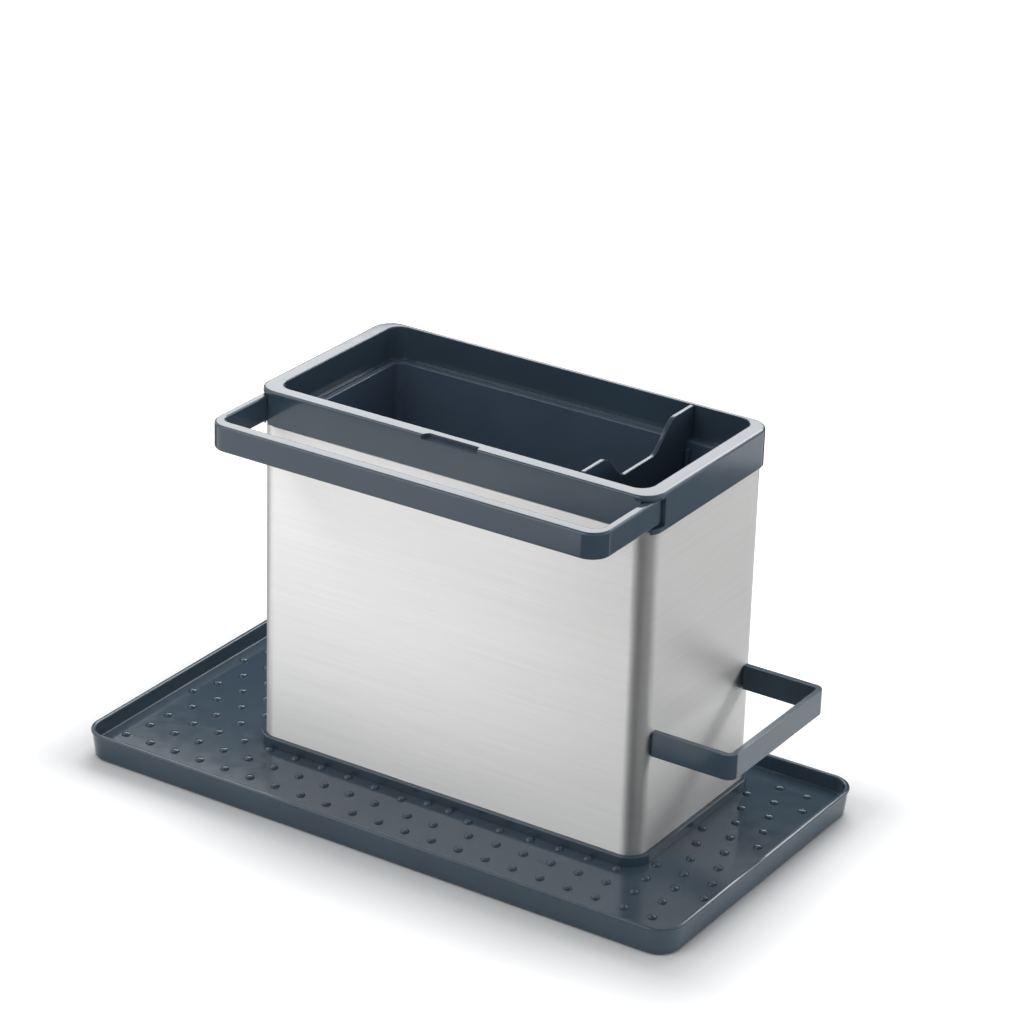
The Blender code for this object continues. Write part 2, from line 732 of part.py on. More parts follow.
def tub_levels():
    outer_top, inner_top, outer_low, inner_low = tub_boxes()
    flange = inset(OPENING_BOX, STEP_WIDTH + GAP)
    flange_corner = OPENING_CORNER - STEP_WIDTH - GAP
    inner_corner = TUB_CORNER - TUB_WALL
    return (
        (inset(outer_low, TUB_FILLET), TUB_CORNER - TUB_FILLET, TUB_BOTTOM),
        (outer_low, TUB_CORNER, TUB_BOTTOM + TUB_FILLET),
        (outer_top, TUB_CORNER, TUB_FLANGE_BOTTOM),
        (flange, flange_corner, TUB_FLANGE_BOTTOM),
        (flange, flange_corner, TUB_FLANGE_TOP - TUB_EDGE),
        (inset(flange, TUB_EDGE), flange_corner - TUB_EDGE, TUB_FLANGE_TOP),
        (inset(inner_top, -TUB_EDGE), inner_corner + TUB_EDGE, TUB_FLANGE_TOP),
        (inner_top, inner_corner, TUB_FLANGE_TOP - TUB_EDGE),
        (inner_low, inner_corner, TUB_FLOOR + TUB_FILLET),
        (inset(inner_low, TUB_FILLET), inner_corner - TUB_FILLET, TUB_FLOOR),
    )


def guide_sides():
    """Left and right side of each guide rib, on both sides of the divider."""
    near = DIVIDER_THICKNESS / 2 + GAP
    far = near + GUIDE_WIDTH
    return ((DIVIDER_X - far, DIVIDER_X - near), (DIVIDER_X + near, DIVIDER_X + far))


def guide_ribs():
    """Four ribs as drafted as the walls, a pair on the front wall and a pair on the back wall."""
    inner_top, inner_low = tub_boxes()[1::2]
    bm = bmesh.new()
    for left, right in guide_sides():
        front = []
        back = []
        for box, height in ((inner_low, TUB_FLOOR - GAP), (inner_top, GUIDE_TOP)):
            front.append(((left, right, box[2] - GUIDE_ROOT, box[2] + GUIDE_REACH), 0, height))
            back.append(((left, right, box[3] - GUIDE_REACH, box[3] + GUIDE_ROOT), 0, height))
        skin_levels(bm, front, closed=False)
        skin_levels(bm, back, closed=False)
    return bm


def guide_sills():
    """Two low ribs that cross the tub's floor from wall rib to wall rib."""
    inner_low = tub_boxes()[3]
    bm = bmesh.new()
    for left, right in guide_sides():
        sill = (left + SILL_INSET, right - SILL_INSET,
                inner_low[2] + GUIDE_REACH / 2, inner_low[3] - GUIDE_REACH / 2)
        levels = [(sill, 0, TUB_FLOOR - GAP), (sill, 0, TUB_FLOOR + SILL_HEIGHT)]
        skin_levels(bm, levels, closed=False)
    return bm


def build_tub(parent, material):
    """Drafted inner tub that hangs by its flange, with divider guides and a drained floor."""
    bm = bmesh.new()
    skin_levels(bm, tub_levels(), closed=False)
    tub = make_piece("inner_tub", bm, (*CADDY_CENTRE, TUB_FLANGE_BOTTOM), parent, material)
    combine(tub, "guide_ribs", guide_ribs(), "UNION")
    combine(tub, "guide_sills", guide_sills(), "UNION")
    bm = bmesh.new()
    for number in range(TUB_SLOTS):
        x = TUB_SLOT_CENTRE_X + (number - (TUB_SLOTS - 1) / 2) * TUB_SLOT_SPACING
        half_width = TUB_SLOT_WIDTH / 2
        half_length = TUB_SLOT_LENGTH / 2
        box = (x - half_width, x + half_width, CADDY_CENTRE[1] - half_length,
               CADDY_CENTRE[1] + half_length)
        slot = rounded_outline(box, TUB_SLOT_CORNER, SMALL_STEPS)
        extrude_outline(bm, slot, TUB_BOTTOM - OVERCUT, TUB_FLOOR + OVERCUT)
    combine(tub, "floor_slots", bm, "DIFFERENCE")


def divider_outline():
    """Front view of the divider in (y, z): drafted body, wide shoulders and a scooped top."""
    inner_top, inner_low = tub_boxes()[1::2]
    gap = DIVIDER_EDGE_GAP
    front = OPENING_FRONT + gap
    back = OPENING_BACK - gap
    bottom = TUB_FLOOR + GAP
    scoop_low = COLLAR_TOP - DIVIDER_SCOOP_DEPTH
    points = [
        (inner_low[2] + TUB_FILLET + gap, bottom),
        (inner_low[3] - TUB_FILLET - gap, bottom),
        (inner_low[3] - gap, bottom + TUB_FILLET + gap),
        (inner_top[3] - gap, DIVIDER_SHOULDER),
        (back, DIVIDER_SHOULDER),
        (back, COLLAR_TOP - DIVIDER_CORNER),
        (back - DIVIDER_CORNER, COLLAR_TOP),
    ]
    scoop_back = back - DIVIDER_FLAT
    scoop_front = front + DIVIDER_FLAT
    points += smooth_run((scoop_back, COLLAR_TOP), (scoop_back - DIVIDER_SCOOP_RUN, scoop_low),
                         DIVIDER_SCOOP_STEPS)
    points += smooth_run((scoop_front + DIVIDER_SCOOP_RUN, scoop_low), (scoop_front, COLLAR_TOP),
                         DIVIDER_SCOOP_STEPS)
    points += [
        (front + DIVIDER_CORNER, COLLAR_TOP),
        (front, COLLAR_TOP - DIVIDER_CORNER),
        (front, DIVIDER_SHOULDER),
        (inner_top[2] + gap, DIVIDER_SHOULDER),
        (inner_low[2] + gap, bottom + TUB_FILLET + gap),
    ]
    return points


def build_divider(parent, material):
    """Flat partition that drops into the guides from above."""
    bm = bmesh.new()
    extrude_outline(bm, divider_outline(), -DIVIDER_THICKNESS / 2, DIVIDER_THICKNESS / 2)
    stand_up = Matrix(((0, 0, 1), (1, 0, 0), (0, 1, 0)))
    bmesh.ops.transform(bm, matrix=stand_up.to_4x4(), verts=bm.verts)
    bmesh.ops.translate(bm, verts=bm.verts, vec=(DIVIDER_X * MM, 0, 0))
    make_piece("cross_divider", bm, (DIVIDER_X, CADDY_CENTRE[1], DIVIDER_SHOULDER), parent, material)


# Rail and side holder

def build_rail(parent, material):
    """Flat-band towel rail whose arms push back into the collar's corner sockets."""
    walls = (RAIL_LEFT_THICKNESS, RAIL_RIGHT_THICKNESS, RAIL_FRONT_THICKNESS)
    radii = (RAIL_CORNER, RAIL_INNER_CORNER)
    points = u_outline(RAIL_LEFT, RAIL_RIGHT, RAIL_FRONT, RAIL_ARM_END, walls, radii)
    bm = bmesh.new()
    extrude_outline(bm, points, RAIL_BOTTOM, RAIL_TOP)
    middle = (RAIL_BOTTOM + RAIL_TOP) / 2
    rail = make_piece("front_rail", bm, (CADDY_CENTRE[0], RAIL_ARM_END, middle), parent, material)
    bevel_edges(rail, RAIL_EDGE)


def tab_centres():
    half = HOLDER_THICKNESS / 2
    return (HOLDER_NEAR + half, HOLDER_FAR - half)


def build_holder(parent, material):
    """U-shaped band on the right face whose tabs pass through the sleeve's slots."""
    root = SLEEVE_RIGHT + GAP
    walls = (HOLDER_THICKNESS,) * 3
    radii = (HOLDER_CORNER, HOLDER_INNER_CORNER)
    flat = u_outline(HOLDER_NEAR, HOLDER_FAR, -HOLDER_OUT, -root, walls, radii)
    points = [(-across, along) for along, across in flat]
    bm = bmesh.new()
    extrude_outline(bm, points, HOLDER_BOTTOM, HOLDER_TOP)
    middle = (HOLDER_BOTTOM + HOLDER_TOP) / 2
    holder = make_piece("side_holder", bm, (root, CADDY_CENTRE[1], middle), parent, material)
    bevel_edges(holder, HOLDER_EDGE)
    bm = bmesh.new()
    for y in tab_centres():
        half = TAB_THICKNESS / 2
        tab = (root - TAB_LENGTH, root + TAB_ROOT, y - half, y + half)
        extrude_outline(bm, rounded_outline(tab, 0), middle - TAB_HEIGHT / 2, middle + TAB_HEIGHT / 2)
    combine(holder, "holder_tabs", bm, "UNION")


def main():
    clear_scene()
    slate = make_material(SLATE)
    satin = make_material(SLATE_TUB)
    steel = make_material(STEEL)
    rubber = make_material(RUBBER)
    tray = make_empty("tray_body", (0, 0, 0))
    caddy = make_empty("caddy_body", (*CADDY_CENTRE, BASE_BOTTOM), tray)
    tub = make_empty("tub_body", (*CADDY_CENTRE, TUB_FLANGE_BOTTOM), caddy)
    divider = make_empty("divider_body", (DIVIDER_X, CADDY_CENTRE[1], DIVIDER_SHOULDER), tub)
    rail = make_empty("rail_body", (CADDY_CENTRE[0], RAIL_ARM_END, RAIL_BOTTOM), caddy)
    holder = make_empty("holder_body", (SLEEVE_RIGHT, CADDY_CENTRE[1], HOLDER_BOTTOM), caddy)
    build_tray(tray, slate)
    build_feet(tray, rubber)
    build_base(caddy, slate)
    build_sleeve(caddy, steel)
    build_collar(caddy, slate)
    build_tub(tub, satin)
    build_divider(divider, slate)
    build_rail(rail, slate)
    build_holder(holder, slate)


main()
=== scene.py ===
"""Sink organizer: moulded slate plastic and brushed stainless steel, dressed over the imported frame.

The object's dimensions are in millimetres until MM turns them into metres, and the studio's are in
metres. The pieces are numpy sections carried round rounded rectangles, so each section point is a
level: the four sides of a plan rectangle, the radius of its corners and its height.
"""

import math

import bpy
import numpy as np
from mathutils import Matrix, Vector


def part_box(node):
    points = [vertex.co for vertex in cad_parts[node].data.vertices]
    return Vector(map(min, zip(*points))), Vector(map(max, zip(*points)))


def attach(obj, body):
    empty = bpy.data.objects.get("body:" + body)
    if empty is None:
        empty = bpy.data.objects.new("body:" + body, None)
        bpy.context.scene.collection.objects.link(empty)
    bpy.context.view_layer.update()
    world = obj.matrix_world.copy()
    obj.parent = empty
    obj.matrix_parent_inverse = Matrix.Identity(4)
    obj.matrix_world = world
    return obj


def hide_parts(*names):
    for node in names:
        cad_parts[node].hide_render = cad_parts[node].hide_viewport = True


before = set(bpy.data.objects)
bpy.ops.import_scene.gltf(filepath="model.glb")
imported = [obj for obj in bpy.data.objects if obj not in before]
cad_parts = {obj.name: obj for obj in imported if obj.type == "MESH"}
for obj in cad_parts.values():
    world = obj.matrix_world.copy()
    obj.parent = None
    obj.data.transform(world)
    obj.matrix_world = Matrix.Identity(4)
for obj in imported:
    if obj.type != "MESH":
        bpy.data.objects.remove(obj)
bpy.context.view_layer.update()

MM = 0.001


# Measures that several pieces share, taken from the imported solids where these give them

def node_plan(node):
    """Left, right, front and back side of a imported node, in millimetres to a hundredth."""
    low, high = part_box(node)
    return tuple(round(side / MM, 2) for side in (low.x, high.x, low.y, high.y))


def node_heights(node):
    """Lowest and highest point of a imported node, in millimetres to a hundredth."""
    return tuple(round(corner.z / MM, 2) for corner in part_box(node))


def middle(box):
    """Middle of a plan rectangle."""
    return ((box[0] + box[1]) / 2, (box[2] + box[3]) / 2)


def inset(box, distance):
    """Plan rectangle with its four sides moved inwards by the distance."""
    return (box[0] + distance, box[1] - distance, box[2] + distance, box[3] - distance)


TRAY = node_plan("drip_tray")
TRAY_CORNER = 10.8
SLEEVE = node_plan("steel_sleeve")
SLEEVE_CORNER = 8.0
SLEEVE_FRONT = SLEEVE[2]
SLEEVE_BACK = SLEEVE[3]
SLEEVE_MIDDLE = middle(SLEEVE)
INSIDE_SHEET = 1.1
CLEARANCE = 0.3
TUB_FLANGE = node_plan("inner_tub")
FLANGE_GAP = 1.5
OPENING = inset(TUB_FLANGE, -FLANGE_GAP)
OPENING_CORNER = 6.5
SKIRT_FOOT, RIM_TOP = node_heights("top_collar")
DIVIDER = node_plan("cross_divider")
DIVIDER_X = middle(DIVIDER)[0]
HOLDER = node_plan("side_holder")
HOLDER_LOW, HOLDER_HIGH = node_heights("side_holder")
HOLDER_WALL = 2.6
HOLDER_ARMS = (HOLDER[2] + HOLDER_WALL / 2, HOLDER[3] - HOLDER_WALL / 2)
TAB_HALF = 1.0
TAB_INSET = 1.75
TAB_LOW = HOLDER_LOW + TAB_INSET
TAB_HIGH = HOLDER_HIGH - TAB_INSET


# Shape tools

def level(box, distance, corner, height, fillet=0.0):
    """One section point: an inset rectangle, its corner radius, its height and its edge fillet."""
    return (*inset(box, distance), corner - distance, height, fillet)


def soften(levels, closed, segments=4, longest_share=0.48):
    """Section with rounded edges. Each point P with a fillet f becomes the quadratic curve
    (1-t)^2 A + 2t(1-t) P + t^2 B, where A and B lie at distance f before and after P, but never
    past the given share of the way to the next point."""
    points = np.array(levels, float)
    count = len(points)
    t = np.linspace(0, 1, segments + 1)[:, None]
    rows = []
    for i in range(count):
        point, fillet = points[i, :6], points[i, 6]
        if fillet == 0 or (not closed and i in (0, count - 1)):
            rows.append(point[None])
            continue
        ends = []
        for other in (points[i - 1, :6], points[(i + 1) % count, :6]):
            step = other - point
            length = math.hypot(np.abs(step[:4]).max(), step[5])
            ends.append(point + step * min(fillet / length, longest_share))
        rows.append((1 - t) ** 2 * ends[0] + 2 * t * (1 - t) * point + t ** 2 * ends[1])
    return np.concatenate(rows)


def ring_grid(levels, corner_steps=20, least_radius=0.05):
    """Points [level, place, xyz] in metres. Each level is a rectangle with quarter-round corners:
    x = cx + r cos a and y = cy + r sin a, with a running through the four quarter turns."""
    quarter = np.linspace(0, np.pi / 2, corner_steps + 1)
    angle = (np.arange(4)[:, None] * np.pi / 2 + quarter).ravel()
    east = np.repeat([True, False, False, True], corner_steps + 1)
    north = np.repeat([True, True, False, False], corner_steps + 1)
    left, right, front, back, radius, height = (levels[:, k, None] for k in range(6))
    radius = np.maximum(radius, least_radius)
    x = np.where(east, right - radius, left + radius) + radius * np.cos(angle)
    y = np.where(north, back - radius, front + radius) + radius * np.sin(angle)
    return np.stack([x, y, np.broadcast_to(height, x.shape)], -1) * MM


def turned_grid(profile, centres, sides):
    """Points [centre, ring, side, xyz] in metres: a (radius, height) profile turned about each
    centre, x = cx + r cos a and y = cy + r sin a."""
    profile = np.array(profile, float)
    angle = np.linspace(0, 2 * np.pi, sides, endpoint=False)
    centres = np.array(centres, float)
    x = centres[:, 0, None, None] + profile[None, :, 0, None] * np.cos(angle)
    y = centres[:, 1, None, None] + profile[None, :, 0, None] * np.sin(angle)
    z = np.broadcast_to(profile[None, :, 1, None], x.shape)
    return np.stack([x, y, z], -1) * MM


def grid_faces(rows, places, closed, offset=0):
    """Quads between neighbouring rows of a grid whose places run round. A closed grid's last row
    meets its first one, an open one gets a cap at each end."""
    last = rows if closed else rows - 1
    row, place = np.meshgrid(np.arange(last), np.arange(places), indexing="ij")
    above, beside = (row + 1) % rows, (place + 1) % places
    quads = np.stack([row * places + place, row * places + beside,
                      above * places + beside, above * places + place], -1).reshape(-1, 4) + offset
    faces = quads.tolist()
    if not closed:
        faces.append((np.arange(places)[::-1] + offset).tolist())
        faces.append((np.arange(places) + (rows - 1) * places + offset).tolist())
    return faces


def outward(mesh):
    """Turn the faces round if the volume under them, a sum of signed tetrahedra, is negative."""
    mesh.calc_loop_triangles()
    corners = np.zeros(len(mesh.loop_triangles) * 3, int)
    mesh.loop_triangles.foreach_get("vertices", corners)
    points = np.zeros(len(mesh.vertices) * 3)
    mesh.vertices.foreach_get("co", points)
    a, b, c = points.reshape(-1, 3)[corners.reshape(-1, 3)].transpose(1, 0, 2)
    if np.einsum("ij,ij->i", a, np.cross(b, c)).sum() < 0:
        mesh.flip_normals()


def make_object(name, points, faces):
    """Smooth-shaded object at the origin from points in metres and faces."""
    mesh = bpy.data.meshes.new(name)
    mesh.from_pydata(points.reshape(-1, 3).tolist(), [], faces)
    outward(mesh)
    mesh.shade_smooth()
    piece = bpy.data.objects.new(name, mesh)
    bpy.context.scene.collection.objects.link(piece)
    return piece


def shell(name, levels, closed, corner_steps=20):
    """A softened section carried round its rounded rectangles."""
    grid = ring_grid(soften(levels, closed), corner_steps)
    return make_object(name, grid, grid_faces(grid.shape[0], grid.shape[1], closed))


def turned(name, profile, centres, sides, closed=False):
    """One mesh of equal turned bodies, one on each centre."""
    grid = turned_grid(profile, centres, sides)
    rings = grid.shape[1]
    faces = []
    for number in range(grid.shape[0]):
        faces += grid_faces(rings, sides, closed, offset=number * rings * sides)
    return make_object(name, grid, faces)


def arc(centre, radius, start, steps):
    """Quarter circle from the start angle, anticlockwise: (cx + r cos a, cy + r sin a)."""
    angle = np.radians(start) + np.linspace(0, np.pi / 2, steps + 1)
    return np.stack([centre[0] + radius * np.cos(angle), centre[1] + radius * np.sin(angle)], -1)


def smooth_run(start, end, steps):
    """From start to end, with the second coordinate rising along half a cosine wave."""
    t = np.linspace(0, 1, steps + 1)
    rise = 0.5 - 0.5 * np.cos(np.pi * t)
    return np.stack([start[0] + (end[0] - start[0]) * t, start[1] + (end[1] - start[1]) * rise], -1)


def box_outline(box, radius=0.0, steps=8):
    """Rectangle, with quarter-round corners where it has a radius."""
    left, right, front, back = box
    if radius == 0:
        return np.array([(right, back), (left, back), (left, front), (right, front)], float)
    return np.concatenate([
        arc((right - radius, back - radius), radius, 0, steps),
        arc((left + radius, back - radius), radius, 90, steps),
        arc((left + radius, front + radius), radius, 180, steps),
        arc((right - radius, front + radius), radius, 270, steps),
    ])


def u_outline(left, right, front, ends, walls, radii, steps=18):
    """Plan of a U-shaped band, round its outer corners and back round its inner ones. walls are
    the left, right and front thickness, and radii those of the outer and inner corners."""
    outer, inner = radii
    inner_left, inner_right = left + walls[0] + inner, right - walls[1] - inner
    inner_front = front + walls[2] + inner
    return np.concatenate([
        [(left, ends)],
        arc((left + outer, front + outer), outer, 180, steps),
        arc((right - outer, front + outer), outer, 270, steps),
        [(right, ends), (right - walls[1], ends)],
        arc((inner_right, inner_front), inner, 270, steps)[::-1],
        arc((inner_left, inner_front), inner, 180, steps)[::-1],
        [(left + walls[0], ends)],
    ])


def prism(name, outline, low, high, axes=(0, 1, 2)):
    """An outline raised between two heights. axes says which world axis each of the outline's
    two directions and the height run along."""
    count = len(outline)
    flat = np.zeros((2, count, 3))
    flat[:, :, axes[0]] = outline[:, 0]
    flat[:, :, axes[1]] = outline[:, 1]
    flat[0, :, axes[2]] = low
    flat[1, :, axes[2]] = high
    return make_object(name, flat * MM, grid_faces(2, count, False))


def carve(piece, tools, operation="DIFFERENCE"):
    """Cut the tools out of the piece, or join them to it, and keep only the result's mesh."""
    for tool in tools:
        change = piece.modifiers.new("carve", "BOOLEAN")
        change.operation = operation
        change.solver = "EXACT"
        change.object = tool
    graph = bpy.context.evaluated_depsgraph_get()
    result = bpy.data.meshes.new_from_object(piece.evaluated_get(graph))
    piece.modifiers.clear()
    piece.data = result
    for tool in tools:
        bpy.data.objects.remove(tool, do_unlink=True)


def keep_flats(piece):
    """Weight the normals by face area, so that flat faces shade flat up to their fillets."""
    normals = piece.modifiers.new("flat faces stay flat", "WEIGHTED_NORMAL")
    normals.keep_sharp = True


def soften_edges(piece, width, segments=3, angle=40):
    """Small fillets on every edge that is sharper than the angle."""
    bevel = piece.modifiers.new("edge fillets", "BEVEL")
    bevel.width = width * MM
    bevel.segments = segments
    bevel.limit_method = "ANGLE"
    bevel.angle_limit = math.radians(angle)
    bevel.harden_normals = False
    keep_flats(piece)


def settle(piece, body, material, slot, *nodes):
    """Give the piece its finish, its body and the CAD nodes that it stands for."""
    piece.data.materials.clear()
    piece.data.materials.append(material)
    piece.data.shade_smooth()
    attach(piece, body)
    if nodes:
        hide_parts(*nodes)


# Materials

def linear(code):
    """sRGB hex to linear RGBA."""
    value = np.array([int(code[i:i + 2], 16) for i in (1, 3, 5)]) / 255
    value = np.where(value <= 0.04045, value / 12.92, ((value + 0.055) / 1.055) ** 2.4)
    return (*value.tolist(), 1.0)


def add_node(tree, kind, settings=None, links=None, stops=()):
    """Add a node, set its properties and sockets, and link its sockets to outputs. A colour ramp
    also takes its stops, each a position and a hex colour."""
    node = tree.nodes.new(kind)
    for key, value in (settings or {}).items():
        if isinstance(key, str) and hasattr(node, key):
            setattr(node, key, value)
        else:
            node.inputs[key].default_value = value
    for key, source in (links or {}).items():
        tree.links.new(source, node.inputs[key])
    for number, (position, code) in enumerate(stops):
        elements = node.color_ramp.elements
        if len(elements) < len(stops):
            elements.new(0.5)
        elements[number].position = position
        elements[number].color = linear(code)
    return node


def new_material(name):
    """Empty node material and its tree."""
    material = bpy.data.materials.new(name)
    material.use_nodes = True
    tree = material.node_tree
    tree.nodes.clear()
    return material, tree


def moulded_plastic(name, base, light, roughness, peel, grain):
    """Injection-moulded ABS: one even dark colour, with a skin as glossy or as satin as its mould.
    Flow clouds about 40 mm across shift the colour a little, a fine polish haze of about 6 mm
    moves the roughness, and the skin has an orange peel about 1.5 mm wide with a grit of about
    0.3 mm over it, so that long reflections waver as on real mouldings."""
    material, tree = new_material(name)
    place = add_node(tree, "ShaderNodeTexCoord").outputs["Object"]
    clouds = add_node(tree, "ShaderNodeTexNoise", {"Scale": 25.0, "Detail": 3.0}, {"Vector": place})
    haze = add_node(tree, "ShaderNodeTexNoise", {"Scale": 160.0, "Detail": 4.0}, {"Vector": place})
    skin = add_node(tree, "ShaderNodeTexNoise", {"Scale": 650.0, "Detail": 1.0}, {"Vector": place})
    grit = add_node(tree, "ShaderNodeTexNoise", {"Scale": 3200.0, "Detail": 2.0}, {"Vector": place})
    colour = add_node(tree, "ShaderNodeValToRGB", links={"Fac": clouds.outputs["Fac"]},
                      stops=((0.3, base), (0.7, light)))
    rough = add_node(tree, "ShaderNodeMapRange",
                     {"From Min": 0.3, "From Max": 0.7,
                      "To Min": roughness * 0.85, "To Max": roughness * 1.2},
                     {"Value": haze.outputs["Fac"]})
    wave = add_node(tree, "ShaderNodeBump", {"Strength": 0.03, "Distance": peel * MM},
                    {"Height": skin.outputs["Fac"]})
    fine = add_node(tree, "ShaderNodeBump", {"Strength": 0.03, "Distance": grain * MM},
                    {"Height": grit.outputs["Fac"], "Normal": wave.outputs["Normal"]})
    surface = add_node(tree, "ShaderNodeBsdfPrincipled", {"IOR": 1.5},
                       {"Base Color": colour.outputs["Color"], "Roughness": rough.outputs["Result"],
                        "Normal": fine.outputs["Normal"]})
    add_node(tree, "ShaderNodeOutputMaterial", links={"Surface": surface.outputs["BSDF"]})
    return material


def brushed_steel(name):
    """Cold-rolled stainless sheet, belt-brushed along its length before folding. The grain runs
    round the sleeve, so highlights smear up and down: the tangent is turned a quarter off the u
    direction. The real lines are finer than 0.1 mm and would not show, so they are drawn 0.35 mm
    wide, with longer soft streaks of 2.4 mm, both faint, and a slow cloud of 20 to 60 mm."""
    material, tree = new_material(name)
    uv = add_node(tree, "ShaderNodeUVMap", {"uv_map": "round_and_up"}).outputs["UV"]
    lines_map = add_node(tree, "ShaderNodeMapping", {"Scale": (22.0, 2900.0, 1.0)}, {"Vector": uv})
    streak_map = add_node(tree, "ShaderNodeMapping", {"Scale": (9.0, 420.0, 1.0)}, {"Vector": uv})
    cloud_map = add_node(tree, "ShaderNodeMapping", {"Scale": (16.0, 45.0, 1.0)}, {"Vector": uv})
    lines = add_node(tree, "ShaderNodeTexNoise", {"Scale": 1.0, "Detail": 3.0, "Roughness": 0.6},
                     {"Vector": lines_map.outputs["Vector"]})
    streaks = add_node(tree, "ShaderNodeTexNoise", {"Scale": 1.0, "Detail": 4.0},
                       {"Vector": streak_map.outputs["Vector"]})
    clouds = add_node(tree, "ShaderNodeTexNoise", {"Scale": 1.0, "Detail": 3.0},
                      {"Vector": cloud_map.outputs["Vector"]})
    faint_lines = add_node(tree, "ShaderNodeMapRange",
                           {"From Min": 0.0, "From Max": 1.0, "To Min": 0.0, "To Max": 0.65},
                           {"Value": lines.outputs["Fac"]})
    mixed = add_node(tree, "ShaderNodeMath", {"operation": "MULTIPLY_ADD", 1: 0.35},
                     {0: streaks.outputs["Fac"], 2: faint_lines.outputs["Result"]})
    colour = add_node(tree, "ShaderNodeValToRGB", links={"Fac": mixed.outputs["Value"]},
                      stops=((0.34, "#d2d2d1"), (0.5, "#d6d6d5"), (0.66, "#dadad9")))
    rough = add_node(tree, "ShaderNodeMapRange",
                     {"From Min": 0.3, "From Max": 0.7, "To Min": 0.47, "To Max": 0.52},
                     {"Value": clouds.outputs["Fac"]})
    rough_lines = add_node(tree, "ShaderNodeMath", {"operation": "MULTIPLY_ADD", 1: 0.05},
                           {0: lines.outputs["Fac"], 2: rough.outputs["Result"]})
    bump = add_node(tree, "ShaderNodeBump", {"Strength": 0.08, "Distance": 0.02 * MM},
                    {"Height": mixed.outputs["Value"]})
    tangent = add_node(tree, "ShaderNodeTangent", {"direction_type": "UV_MAP",
                                                   "uv_map": "round_and_up"})
    surface = add_node(tree, "ShaderNodeBsdfPrincipled",
                       {"Metallic": 1.0, "Anisotropic": 0.87, "Anisotropic Rotation": 0.25},
                       {"Base Color": colour.outputs["Color"],
                        "Roughness": rough_lines.outputs["Value"],
                        "Normal": bump.outputs["Normal"], "Tangent": tangent.outputs["Tangent"]})
    add_node(tree, "ShaderNodeOutputMaterial", links={"Surface": surface.outputs["BSDF"]})
    return material


def foot_rubber(name):
    """Pressed rubber: matt, nearly black, with a dusty bloom of about 3 mm patches."""
    material, tree = new_material(name)
    place = add_node(tree, "ShaderNodeTexCoord").outputs["Object"]
    bloom = add_node(tree, "ShaderNodeTexNoise", {"Scale": 330.0, "Detail": 4.0}, {"Vector": place})
    colour = add_node(tree, "ShaderNodeValToRGB", links={"Fac": bloom.outputs["Fac"]},
                      stops=((0.3, "#1f2022"), (0.75, "#34353a")))
    bump = add_node(tree, "ShaderNodeBump", {"Strength": 0.3, "Distance": 0.1 * MM},
                    {"Height": bloom.outputs["Fac"]})
    surface = add_node(tree, "ShaderNodeBsdfPrincipled", {"Roughness": 0.8},
                       {"Base Color": colour.outputs["Color"], "Normal": bump.outputs["Normal"]})
    add_node(tree, "ShaderNodeOutputMaterial", links={"Surface": surface.outputs["BSDF"]})
    return material


# Drip tray and feet

TRAY_FOOT, TRAY_TOP = node_heights("drip_tray")
FLOOR_UNDER = 4.1
FLOOR_TOP = 6.1
BEAD_FOOT = 11.0
RIB_OUTSIDE = 3.2
RIB_INSIDE = 4.7
RIB_FOOT = 5.6
RIB_TOP = 8.4
FEET = [middle(node_plan(f"tray_foot_{number}")) for number in range(1, 5)]
PAD_RADIUS = 6.2
PAD_TOP = node_heights("tray_foot_1")[1]
PAD_ROUND = 0.7
PAD_CHAMFER = 0.3
SOCKET_RING = (6.75, 8.25)
SOCKET_ROOT = 4.3
SOCKET_FOOT = 2.5

NUB_SHOULDER = 1.9
NUB_CROWN = 0.35
NUB_BEND = 1.5
NUB_FOOT = 0.15
NUB_HEIGHT = 1.0
NUB_MIRROR_X = 9.0
NUB_PITCH = 12.6
NUB_COLUMNS = 22
FIRST_ROW = -57.2
SECOND_ROW = -44.9
SECOND_INNER = 6.2
SECOND_START = 22.4
SECOND_BOW = 1.6
THIRD_ROW = -33.6
THIRD_INNER = 5.2
THIRD_START = 16.0
THIRD_PITCH = 13.0
THIRD_SPREAD = 2.2
THIRD_FADE = 1.5
THIRD_BOW = 3.9
BOW_WIDTH = 30.0
BAY_START = (94.0, -22.0)
BAY_ROWS = 8
BAY_COLUMNS = 7
BAY_ROW_PITCH = 11.8
BAY_LEAN = 4.2
NUB_GAP_AT_SLEEVE = 4.6
NUB_GAP_AT_ENDS = 8.5


